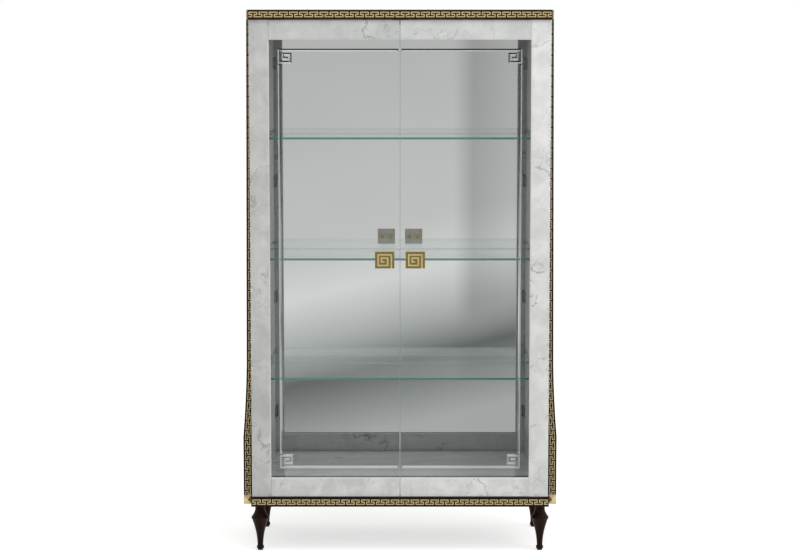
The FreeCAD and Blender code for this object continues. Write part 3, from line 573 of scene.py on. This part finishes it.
@dataclass(frozen=True)
class Fibreboard(Finish):
    """Dark faced hardboard of the back: matt, with short pressed fibres."""

    light: str = "#4A4039"
    dark: str = "#332B26"
    fibre_mm: float = 2.5
    stretch: float = 0.35

    def dress(self, tree: bpy.types.NodeTree, shader: bpy.types.Node) -> None:
        """Scatters short fibres over a matt board.

        Args:
            tree: Node tree of the material.
            shader: Its Principled shader.
        """
        spot = add_node(tree, "ShaderNodeTexCoord").outputs["Object"]
        laid = add_node(tree, "ShaderNodeMapping", {
            "Vector": spot, "Scale": (self.stretch, 1.0, 1.0),
        }).outputs["Vector"]
        fibre = add_node(tree, "ShaderNodeTexNoise", {
            "Vector": laid, "Scale": per_mm(self.fibre_mm), "Detail": 4.0, "Roughness": 0.7,
        }).outputs["Fac"]
        colour = add_node(tree, "ShaderNodeValToRGB", {"Fac": fibre}, stops=(
            (0.3, linear(self.dark)), (0.7, linear(self.light)),
        )).outputs["Color"]
        relief = add_node(tree, "ShaderNodeBump", {"Height": fibre, "Strength": 0.25, "Distance": 0.0004})
        tree.links.new(colour, shader.inputs["Base Color"])
        tree.links.new(relief.outputs["Normal"], shader.inputs["Normal"])
        shader.inputs["Roughness"].default_value = 0.72


@dataclass(frozen=True)
class NickelSteel(Finish):
    """Pressed steel with nickel plate: bright, with soft handling marks."""

    bright: str = "#9C9C99"
    dull: str = "#757573"
    mark_mm: float = 6.0

    def dress(self, tree: bpy.types.NodeTree, shader: bpy.types.Node) -> None:
        """Varies colour and gloss with soft marks.

        Args:
            tree: Node tree of the material.
            shader: Its Principled shader.
        """
        spot = add_node(tree, "ShaderNodeTexCoord").outputs["Object"]
        marks = add_node(tree, "ShaderNodeTexNoise", {
            "Vector": spot, "Scale": per_mm(self.mark_mm), "Detail": 4.0,
        })
        colour = add_node(tree, "ShaderNodeValToRGB", {"Fac": marks.outputs["Fac"]}, stops=(
            (0.3, linear(self.dull)), (0.7, linear(self.bright)),
        )).outputs["Color"]
        rough = add_node(tree, "ShaderNodeMapRange", {
            "Value": marks.outputs["Fac"], "To Min": 0.2, "To Max": 0.38,
        }).outputs["Result"]
        tree.links.new(colour, shader.inputs["Base Color"])
        tree.links.new(rough, shader.inputs["Roughness"])
        shader.inputs["Metallic"].default_value = 1.0


@dataclass(frozen=True)
class MouldedNylon(Finish):
    """Black moulded nylon: matt, with a fine spark-eroded grain."""

    black: str = "#0E0E0E"
    wear_and_painted_light: str = "#1C1C1B"
    grain_mm: float = 1.5

    def dress(self, tree: bpy.types.NodeTree, shader: bpy.types.Node) -> None:
        """Gives the nylon its grain, drawn coarser than life so that it shows.

        Args:
            tree: Node tree of the material.
            shader: Its Principled shader.
        """
        spot = add_node(tree, "ShaderNodeTexCoord").outputs["Object"]
        grain = add_node(tree, "ShaderNodeTexNoise", {
            "Vector": spot, "Scale": per_mm(self.grain_mm), "Detail": 3.0,
        })
        colour = add_node(tree, "ShaderNodeValToRGB", {"Fac": grain.outputs["Fac"]}, stops=(
            (0.35, linear(self.black)), (0.7, linear(self.wear_and_painted_light)),
        )).outputs["Color"]
        relief = add_node(tree, "ShaderNodeBump", {
            "Height": grain.outputs["Fac"], "Strength": 0.3, "Distance": 0.0002,
        })
        tree.links.new(colour, shader.inputs["Base Color"])
        tree.links.new(relief.outputs["Normal"], shader.inputs["Normal"])
        shader.inputs["Roughness"].default_value = 0.6


STEEL = NickelSteel("nickel_plated_steel")
NYLON = MouldedNylon("black_moulded_nylon")


def through(
    start: tuple[float, float], middle: tuple[float, float], end: tuple[float, float], steps: int
) -> list[tuple[float, float]]:
    """Samples the smooth curve through three points.

    Args:
        start: First point, which isn't repeated.
        middle: Point half way along.
        end: Last point.
        steps: How many points to give.

    Returns:
        Points after the first, up to the last.
    """
    line = []
    for i in range(1, steps + 1):
        t = i / steps
        shares = (2 * (t - 0.5) * (t - 1), -4 * t * (t - 1), 2 * t * (t - 0.5))
        line.append(tuple(sum(k * p[axis] for k, p in zip(shares, (start, middle, end))) for axis in (0, 1)))
    return line


def paint(piece: bpy.types.Object, material: bpy.types.Material) -> None:
    """Gives every face of a piece one material.

    Args:
        piece: Mesh object to paint.
        material: Its finish.
    """
    piece.data.materials.clear()
    piece.data.materials.append(material)
    for face in piece.data.polygons:
        face.material_index = 0


def pick(piece: bpy.types.Object) -> None:
    """Makes one object the only selected one, and the active one.

    Args:
        piece: The object to select.
    """
    bpy.ops.object.select_all(action="DESELECT")
    piece.select_set(True)
    bpy.context.view_layer.objects.active = piece


@dataclass
class Workshop:
    """Keeps the frame, and turns its nodes into finished pieces."""

    frame: dict
    weld: float = 0.02 * MM
    merge_deg: float = 0.5
    sharp_deg: float = 28.0
    smooth_deg: float = 32.0

    def __post_init__(self) -> None:
        """Looks up each node's slot and body in the record."""
        record = self.frame["record"]
        self.slots = {part["node"]: part["material_slot"] for part in record["subparts"]}
        self.bodies = {n: body for body, nodes in record["behaviour"]["bodies"].items() for n in nodes}
        self.materials: dict[str, bpy.types.Material] = {}

    def material(self, finish: Finish) -> bpy.types.Material:
        """Gives a finish's material, built once.

        Args:
            finish: The finish to show.

        Returns:
            Its material.
        """
        if finish.name not in self.materials:
            self.materials[finish.name] = finish.material()
        return self.materials[finish.name]

    def dress(self, node: str, finish: Finish) -> None:
        """Paints a frame node as it is.

        Args:
            node: Name of the node.
            finish: Its finish.
        """
        paint(self.frame["nodes"][node], self.material(finish))
        LOG.info("%s: %s", node, finish.name)

    def adopt(self, piece: bpy.types.Object, node: str, finish: Finish) -> bpy.types.Object:
        """Lets a new piece stand for a node, on the node's body.

        Args:
            piece: The new piece.
            node: The node that it replaces.
            finish: Its finish.

        Returns:
            The piece.
        """
        paint(piece, self.material(finish))
        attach(piece, self.bodies[node])
        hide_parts(node)
        LOG.info("%s stands for %s: %s", piece.name, node, finish.name)
        return piece

    def copy(self, node: str, name: str) -> bpy.types.Object:
        """Copies a node's mesh, with its loose triangles merged into whole faces.

        Args:
            node: Name of the node.
            name: Name of the copy.

        Returns:
            The copy, selected and active.
        """
        piece = bpy.data.objects.new(name, self.frame["nodes"][node].data.copy())
        bpy.context.scene.collection.objects.link(piece)
        pick(piece)
        bpy.ops.object.mode_set(mode="EDIT")
        bpy.ops.mesh.select_all(action="SELECT")
        bpy.ops.mesh.remove_doubles(threshold=self.weld)
        bpy.ops.mesh.dissolve_limited(angle_limit=math.radians(self.merge_deg))
        bpy.ops.mesh.normals_make_consistent(inside=False)
        bpy.ops.object.mode_set(mode="OBJECT")
        bpy.ops.mesh.customdata_custom_splitnormals_clear()
        return piece

    def ease(self, node: str, finish: Finish, width: float, steps: int = 2) -> bpy.types.Object:
        """Copies a node and rounds its sharp edges, as sanding and polishing leave them.

        Args:
            node: Name of the node.
            finish: Its finish.
            width: How far an edge is eased.
            steps: Faces across an eased edge.

        Returns:
            The eased piece.
        """
        piece = self.copy(node, f"{node}_eased")
        soften = piece.modifiers.new("ease", "BEVEL")
        soften.width, soften.segments = width, steps
        soften.limit_method, soften.angle_limit = "ANGLE", math.radians(self.sharp_deg)
        bpy.ops.object.modifier_apply(modifier=soften.name)
        bpy.ops.object.shade_smooth_by_angle(angle=math.radians(self.smooth_deg))
        weigh = piece.modifiers.new("weigh", "WEIGHTED_NORMAL")
        weigh.keep_sharp = True
        bpy.ops.object.modifier_apply(modifier=weigh.name)
        return self.adopt(piece, node, finish)


@dataclass
class Carcass:
    """Boards, posts, flared skins and linings, with the mirrored back."""

    shop: Workshop
    board_ease: float = 1.2 * MM
    skin_ease: float = 0.8 * MM

    def build(self) -> None:
        """Eases what shows its edges and paints the rest."""
        lacquer, pale = GlossLacquer("dark_gloss_lacquer"), SatinLacquer("pale_satin_lacquer")
        for board in ("top_board", "bottom_board"):
            self.shop.ease(board, lacquer, self.board_ease, 3)
        for side in Side:
            self.shop.ease(f"{side.value}_side_skin", lacquer, self.skin_ease)
            self.shop.dress(f"{side.value}_front_post", lacquer)
            self.shop.dress(f"{side.value}_rear_post", lacquer)
            self.shop.dress(f"{side.value}_inner_side", pale)
        self.shop.dress("floor_liner", MarbleLaminate(
            "floor_laminate", ground="#D3D5D4", cloud="#C1C4C3", bevel=0.0, shift=(0.4, 1.1, 0.0),
            vein="#A2A5A4",
        ))
        self.shop.dress("back_panel", Fibreboard("dark_faced_hardboard"))
        self.shop.dress("back_mirror", SilveredMirror("silvered_mirror"))
        self.shop.dress("back_screws", STEEL)
        self.shop.dress("door_catch", NYLON)


@dataclass
class Gilt:
    """Key-pattern bands, side frets and the studs at their corners."""

    shop: Workshop
    fret_ease: float = 0.2 * MM
    stud_ease: float = 0.7 * MM

    def build(self) -> None:
        """Eases the ribbons and the studs."""
        gold = Gilding("champagne_gilding")
        for fret in ("top_fret", "bottom_fret", "left_side_fret", "right_side_fret"):
            self.shop.ease(fret, gold, self.fret_ease, 1)
        self.shop.ease("corner_studs", gold, self.stud_ease)


@dataclass
class Shelving:
    """Three thick glass shelves on plated pins."""

    shop: Workshop
    edge_ease: float = 0.6 * MM
    levels: tuple[str, ...] = ("top", "middle", "bottom")

    def build(self) -> None:
        """Eases the glass edges and lets lamplight through the shelves."""
        glass = ShelfGlass("thick_float_glass")
        for level in self.levels:
            shelf = self.shop.ease(f"{level}_shelf", glass, self.edge_ease)
            shelf.visible_shadow = False
        self.shop.dress("shelf_pins", STEEL)


@dataclass
class Legs:
    """Four turned legs: bead and ankle, hollow taper, collar, cove, neck and flange."""

    shop: Workshop
    facets: int = 56
    smooth_deg: float = 40.0
    names: tuple[str, ...] = ("front_left_leg", "front_right_leg", "rear_left_leg", "rear_right_leg")
    bead: tuple[tuple[float, float], ...] = ((10.5, 4.0), (13.4, 11.0), (10.2, 18.0))
    taper: tuple[tuple[float, float], ...] = ((10.2, 18.0), (15.6, 67.0), (30.0, 116.0))
    collar: tuple[tuple[float, float], ...] = ((30.0, 116.0), (32.25, 120.5), (30.0, 125.0))
    cove: tuple[tuple[float, float], ...] = ((30.0, 125.0), (22.0, 138.0), (18.0, 151.0))
    neck: tuple[tuple[float, float], ...] = (
        (18.0, 151.0), (18.0, 157.0), (18.2, 162.0), (20.6, 164.4), (22.0, 169.0),
    )

    def profile(self) -> list[tuple[float, float]]:
        """Gives the leg's outline from the sole up to the flange.

        Returns:
            Radius and height of each ring, in millimetres.
        """
        line: list[tuple[float, float]] = [self.bead[0]]
        for curve, steps in ((self.bead, 8), (self.taper, 18), (self.collar, 6), (self.cove, 8)):
            line += through(*curve, steps)
        return line + list(self.neck[1:])

    def turn(self, name: str, place: tuple[float, float]) -> bpy.types.Object:
        """Raises one leg from a disc, ring by ring.

        Args:
            name: Name of the piece.
            place: Where it stands on the floor.

        Returns:
            The turned leg.
        """
        line = self.profile()
        bpy.ops.object.select_all(action="DESELECT")
        bpy.ops.mesh.primitive_circle_add(
            vertices=self.facets, radius=line[0][0] * MM, fill_type="NGON",
            location=(*place, line[0][1] * MM),
        )
        leg = bpy.context.object
        leg.name = name
        bpy.ops.object.transform_apply(location=True, rotation=True, scale=True)
        bpy.ops.object.mode_set(mode="EDIT")
        bpy.ops.mesh.select_all(action="SELECT")
        for (before, low), (after, high) in zip(line, line[1:]):
            bpy.ops.mesh.extrude_region_move(TRANSFORM_OT_translate={"value": (0.0, 0.0, (high - low) * MM)})
            bpy.ops.transform.resize(
                value=(after / before, after / before, 1.0), center_override=(*place, high * MM)
            )
        bpy.ops.mesh.select_all(action="SELECT")
        bpy.ops.mesh.normals_make_consistent(inside=False)
        bpy.ops.object.mode_set(mode="OBJECT")
        bpy.ops.object.shade_smooth_by_angle(angle=math.radians(self.smooth_deg))
        return leg

    def build(self) -> None:
        """Turns the first leg and copies it to the other corners."""
        lacquer = GlossLacquer("dark_satin_lacquer", smooth=0.36, rough=0.46, sheen_level=0.09)
        middles = {}
        for name in self.names:
            low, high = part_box(name)
            middles[name] = ((low.x + high.x) / 2, (low.y + high.y) / 2)
        start = middles[self.names[0]]
        first = self.turn(f"{self.names[0]}_turned", start)
        for name in self.names:
            leg = first
            if name != self.names[0]:
                leg = bpy.data.objects.new(f"{name}_turned", first.data.copy())
                bpy.context.scene.collection.objects.link(leg)
                step = (middles[name][0] - start[0], middles[name][1] - start[1], 0.0)
                leg.data.transform(Matrix.Translation(step))
            self.shop.adopt(leg, name, lacquer)
        self.shop.dress("leg_bolts", STEEL)
        self.shop.dress("leg_glides", NYLON)


@dataclass(frozen=True)
class BarPrintAndPaintedLight:
    """How one bar's cut of the marble print looks, with ground tones and a bevel share that paint in the
    light and shade falling on that bar.
    """

    turn: float
    ground: str
    cloud: str
    bevel: float


@dataclass
class Door:
    """One framed glass door: dark core, marble faces, engraved pane, key handle and hinges."""

    shop: Workshop
    side: Side
    print_shift: float
    stile: BarPrintAndPaintedLight
    top_rail: BarPrintAndPaintedLight
    bottom_rail: BarPrintAndPaintedLight
    face_ease: float = 0.3 * MM
    handle_ease: float = 0.5 * MM
    pane_arris: float = 0.8 * MM

    def build(self) -> None:
        """Builds the frame, the pane, the handle and the hinges of this door."""
        self.frame_pieces()
        self.handle()
        self.pane()
        for fitting in ("hinge_cups", "hinge_pins", "cup_screws"):
            self.shop.dress(self.node(fitting), STEEL)
        self.shop.dress(f"{self.side.value}_hinge_arms", STEEL)

    def node(self, piece: str) -> str:
        """Gives the frame's name for a piece of this door."""
        return f"{self.side.value}_door_{piece}"

    def frame_pieces(self) -> None:
        """Faces each bar of the frame with its own cut of the marble print, in tones painted for the light on
        that bar.
        """
        lacquer = GlossLacquer("dark_gloss_lacquer")
        for bar, shift, look in (
            ("stile", (self.print_shift, 0.0, 0.7), self.stile),
            ("top_rail", (self.print_shift + 1.3, 0.0, 2.2), self.top_rail),
            ("bottom_rail", (self.print_shift, 2.0, 1.4), self.bottom_rail),
        ):
            self.shop.dress(self.node(bar), lacquer)
            cut = MarbleLaminate(
                f"{self.side.value}_{bar}_laminate", ground=look.ground, cloud=look.cloud, bevel=look.bevel,
                shift=shift, turn=look.turn,
            )
            self.shop.ease(self.node(f"{bar}_face"), cut, self.face_ease, 1)
        # The lining's edges are painted dark brown, a painted shade along the door opening.
        self.shop.dress(self.node("lining"), MarbleLaminate(
            "lining_laminate", ground="#F0F0EE", cloud="#E2E3E2", bevel=1.0, edge="#2A1A12",
        ))

    def pane(self) -> None:
        """Grinds an arris along the pane's free edge, and lets lamplight and mirrored light through."""
        node = self.node("glass")
        pane = self.shop.copy(node, f"{node}_ground")
        low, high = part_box(node)
        free = high.x if self.side is Side.LEFT else low.x
        bpy.ops.object.mode_set(mode="EDIT")
        bpy.ops.mesh.select_all(action="DESELECT")
        bpy.ops.object.mode_set(mode="OBJECT")
        points = pane.data.vertices
        for edge in pane.data.edges:
            start, end = (points[i].co for i in edge.vertices)
            upright = abs(start.z - end.z) > (high.z - low.z) / 2
            edge.select = upright and max(abs(start.x - free), abs(end.x - free)) < self.shop.weld
        bpy.ops.object.mode_set(mode="EDIT")
        bpy.ops.mesh.bevel(offset=self.pane_arris, segments=1, affect="EDGES")
        bpy.ops.object.mode_set(mode="OBJECT")
        self.shop.adopt(pane, node, EngravedGlass("engraved_float_glass"))
        pane.visible_shadow = False
        pane.visible_glossy = False

    def handle(self) -> None:
        """Eases the key plate and gives it its two tones by depth, with a painted highlight in its channel
        and painted light on its back.
        """
        low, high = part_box(self.node("handle"))
        plate_with_painted_light = GildingWithPaintedLight(
            "gilding_with_painted_light", bright="#FFFFFF", dark="#F4EFE6", metal=0.4, front_y=low.y, back_y=high.y,
        )
        self.shop.ease(self.node("handle"), plate_with_painted_light, self.handle_ease)
        self.shop.dress(self.node("handle_studs"), Gilding("champagne_gilding"))


@dataclass(frozen=True)
class Lamp:
    """One soft square lamp: where it hangs, what it points at, its side in metres and its watts."""

    name: str
    place: tuple[float, float, float]
    aim: tuple[float, float, float]
    size: float
    power: float


@dataclass
class Studio:
    """Plain pale studio: floor, soft lamps, a grey room for the mirror to show, and the camera."""

    front: float
    eye_distance: float = 7.6
    eye_height: float = 1.853
    pitch_deg: float = 6.456
    lens: float = 96.49
    sensor: float = 36.0
    air_light: float = 0.52
    floor_size: float = 60.0
    floor_tone: str = "#E4E4E2"
    floor_lift: float = 0.62
    room_y: float = -11.67
    wall_size: float = 24.0
    wall_reach: float = 2.0
    wall_slant: float = 0.232
    wall_glow: float = 1.2
    wall_tones: tuple[tuple[float, str], ...] = (
        (-1.80, "#A1A3A2"), (-1.17, "#565A59"), (-0.85, "#9DA09F"), (-0.36, "#CCCDCC"), (0.12, "#B9BAB9"),
        (1.80, "#AEAFAE"),
    )
    column_tones: tuple[tuple[float, str], ...] = ((0.50, "#000000"), (0.68, "#FFFFFF"), (1.0, "#BBBBBB"))
    column_fade: tuple[float, float] = (-1.1, -0.7)
    column_glow: float = 0.816
    hung: tuple[Lamp, ...] = (
        Lamp("key_lamp", (5.2, -3.0, 3.6), (0.0, 0.0, 1.0), 6.0, 215.0),
        Lamp("fill_lamp", (-4.2, -4.2, 2.4), (0.0, 0.0, 0.9), 3.2, 14.0),
        Lamp("top_lamp", (0.0, -1.5, 4.6), (0.0, 0.0, 1.0), 2.2, 40.0),
    )

    def build(self) -> None:
        """Sets up everything that isn't the cabinet."""
        self.world()
        self.floor()
        self.room()
        self.lamps()
        self.camera()
        bpy.context.scene.view_settings.view_transform = "Standard"

    def world(self) -> None:
        """Shows white to the eye and to glass, and lights the object with a quiet pale grey."""
        world = bpy.data.worlds.new("studio_air")
        bpy.context.scene.world = world
        world.use_nodes = True
        tree = world.node_tree
        tree.nodes.clear()
        path = add_node(tree, "ShaderNodeLightPath")
        seen = add_node(tree, "ShaderNodeMath", {
            0: path.outputs["Is Camera Ray"], 1: path.outputs["Is Transmission Ray"],
        }, operation="MAXIMUM").outputs[0]
        seen = add_node(tree, "ShaderNodeMath", {
            0: seen, 1: path.outputs["Is Glossy Ray"],
        }, operation="MAXIMUM").outputs[0]
        strength = add_node(tree, "ShaderNodeMapRange", {
            "Value": seen, "To Min": self.air_light, "To Max": 1.0,
        })
        glow = add_node(tree, "ShaderNodeBackground", {
            "Color": linear("#FFFFFF"), "Strength": strength.outputs["Result"],
        })
        add_node(tree, "ShaderNodeOutputWorld", {"Surface": glow.outputs[0]})

    def floor(self) -> None:
        """Lays a pale floor that reads as white to the eye but keeps the cabinet's shadow."""
        bpy.ops.object.select_all(action="DESELECT")
        bpy.ops.mesh.primitive_plane_add(size=self.floor_size)
        plane = bpy.context.object
        plane.name = "studio_floor"
        plane.visible_glossy = False
        plane.visible_transmission = False
        made = bpy.data.materials.new("pale_floor")
        made.use_nodes = True
        tree = made.node_tree
        tree.nodes.clear()
        path = add_node(tree, "ShaderNodeLightPath")
        lift = add_node(tree, "ShaderNodeMath", {
            0: path.outputs["Is Camera Ray"], 1: self.floor_lift,
        }, operation="MULTIPLY").outputs[0]
        shader = add_node(tree, "ShaderNodeBsdfPrincipled", {
            "Base Color": linear(self.floor_tone), "Roughness": 0.9, "Specular IOR Level": 0.0,
            "Emission Color": linear("#FFFFFF"), "Emission Strength": lift,
        })
        add_node(tree, "ShaderNodeOutputMaterial", {"Surface": shader.outputs["BSDF"]})
        paint(plane, made)

    def room(self) -> None:
        """Hangs a softly graded grey wall behind the eye, for the mirror and the glossy faces to show."""
        bpy.ops.object.select_all(action="DESELECT")
        bpy.ops.mesh.primitive_plane_add(
            size=self.wall_size, location=(0.0, self.room_y, 0.0), rotation=(math.pi / 2, 0.0, 0.0)
        )
        wall = bpy.context.object
        wall.name = "room_wall"
        wall.visible_camera = False
        wall.visible_shadow = False
        made = bpy.data.materials.new("grey_wall")
        made.use_nodes = True
        tree = made.node_tree
        tree.nodes.clear()
        spot = add_node(tree, "ShaderNodeTexCoord").outputs["Object"]
        apart = add_node(tree, "ShaderNodeSeparateXYZ", {0: spot})
        across, height = apart.outputs[Axis.X.value], apart.outputs[Axis.Y.value]
        lean = add_node(tree, "ShaderNodeMath", {
            0: across, 1: -self.wall_slant, 2: height,
        }, operation="MULTIPLY_ADD").outputs[0]
        level = add_node(tree, "ShaderNodeMapRange", {
            "Value": lean, "From Min": -self.wall_reach, "From Max": self.wall_reach,
        }).outputs["Result"]
        tone = add_node(tree, "ShaderNodeValToRGB", {"Fac": level}, stops=[
            (0.5 + metres / (2 * self.wall_reach), linear(code)) for metres, code in self.wall_tones
        ]).outputs["Color"]
        column = add_node(tree, "ShaderNodeValToRGB", {"Fac": across}, stops=[
            (metres, linear(code)) for metres, code in self.column_tones
        ]).outputs["Color"]
        upper = add_node(tree, "ShaderNodeMapRange", {
            "Value": lean, "From Min": self.column_fade[0], "From Max": self.column_fade[1],
        }, interpolation_type="SMOOTHSTEP").outputs["Result"]
        shade = add_node(tree, "ShaderNodeMath", {0: column, 1: upper}, operation="MULTIPLY").outputs[0]
        strength = add_node(tree, "ShaderNodeMapRange", {
            "Value": shade, "To Min": self.wall_glow, "To Max": self.column_glow,
        }).outputs["Result"]
        glow = add_node(tree, "ShaderNodeEmission", {"Color": tone, "Strength": strength})
        add_node(tree, "ShaderNodeOutputMaterial", {"Surface": glow.outputs[0]})
        paint(wall, made)

    def lamps(self) -> None:
        """Hangs the lamps, whose own squares show neither to the eye nor in gloss and glass."""
        for lamp in self.hung:
            light = bpy.data.lights.new(lamp.name, "AREA")
            light.shape, light.size, light.energy = "SQUARE", lamp.size, lamp.power
            box = bpy.data.objects.new(lamp.name, light)
            box.location = lamp.place
            away = Vector(lamp.aim) - Vector(lamp.place)
            box.rotation_euler = away.to_track_quat("-Z", "Y").to_euler()
            box.visible_camera = False
            box.visible_transmission = False
            box.visible_glossy = False
            bpy.context.scene.collection.objects.link(box)

    def camera(self) -> None:
        """Sets the eye at the photograph's height and distance, looking slightly down."""
        data = bpy.data.cameras.new("eye")
        data.lens, data.sensor_width = self.lens, self.sensor
        data.clip_end = 200.0
        eye = bpy.data.objects.new("eye", data)
        eye.location = (0.0, self.front - self.eye_distance, self.eye_height)
        eye.rotation_euler = (math.radians(90.0 - self.pitch_deg), 0.0, 0.0)
        bpy.context.scene.collection.objects.link(eye)
        bpy.context.scene.camera = eye


def main() -> None:
    """Loads the frame, dresses the cabinet and sets up the studio."""
    logging.basicConfig(level=logging.INFO, format="%(name)s: %(message)s")
    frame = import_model()
    shop = Workshop(frame)
    Carcass(shop).build()
    Gilt(shop).build()
    Shelving(shop).build()
    Legs(shop).build()
    # Bar grounds hold painted light and shade: the left door's bars darker and the right door's lighter, as
    # the key lamp hangs on the right, and the bottom rails lighter where less light reaches them, with a full
    # painted highlight on their bevels.
    Door(
        shop, Side.LEFT, 0.0,
        stile=BarPrintAndPaintedLight(0.5, "#D8D8D6", "#BEBFBE", 0.35),
        top_rail=BarPrintAndPaintedLight(-0.7, "#DBDCDA", "#C6C7C6", 0.35),
        bottom_rail=BarPrintAndPaintedLight(0.9, "#ECECEA", "#C8C9C8", 1.0),
    ).build()
    Door(
        shop, Side.RIGHT, 3.1,
        stile=BarPrintAndPaintedLight(0.5, "#F1F1EF", "#DBDBDA", 0.35),
        top_rail=BarPrintAndPaintedLight(-0.7, "#E3E4E2", "#CFD0CF", 0.35),
        bottom_rail=BarPrintAndPaintedLight(0.9, "#EEEEEC", "#CECFCE", 1.0),
    ).build()
    shop.dress("hinge_arm_screws", STEEL)
    Studio(front=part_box("top_board")[0].y).build()


if __name__ == "__main__":
    main()
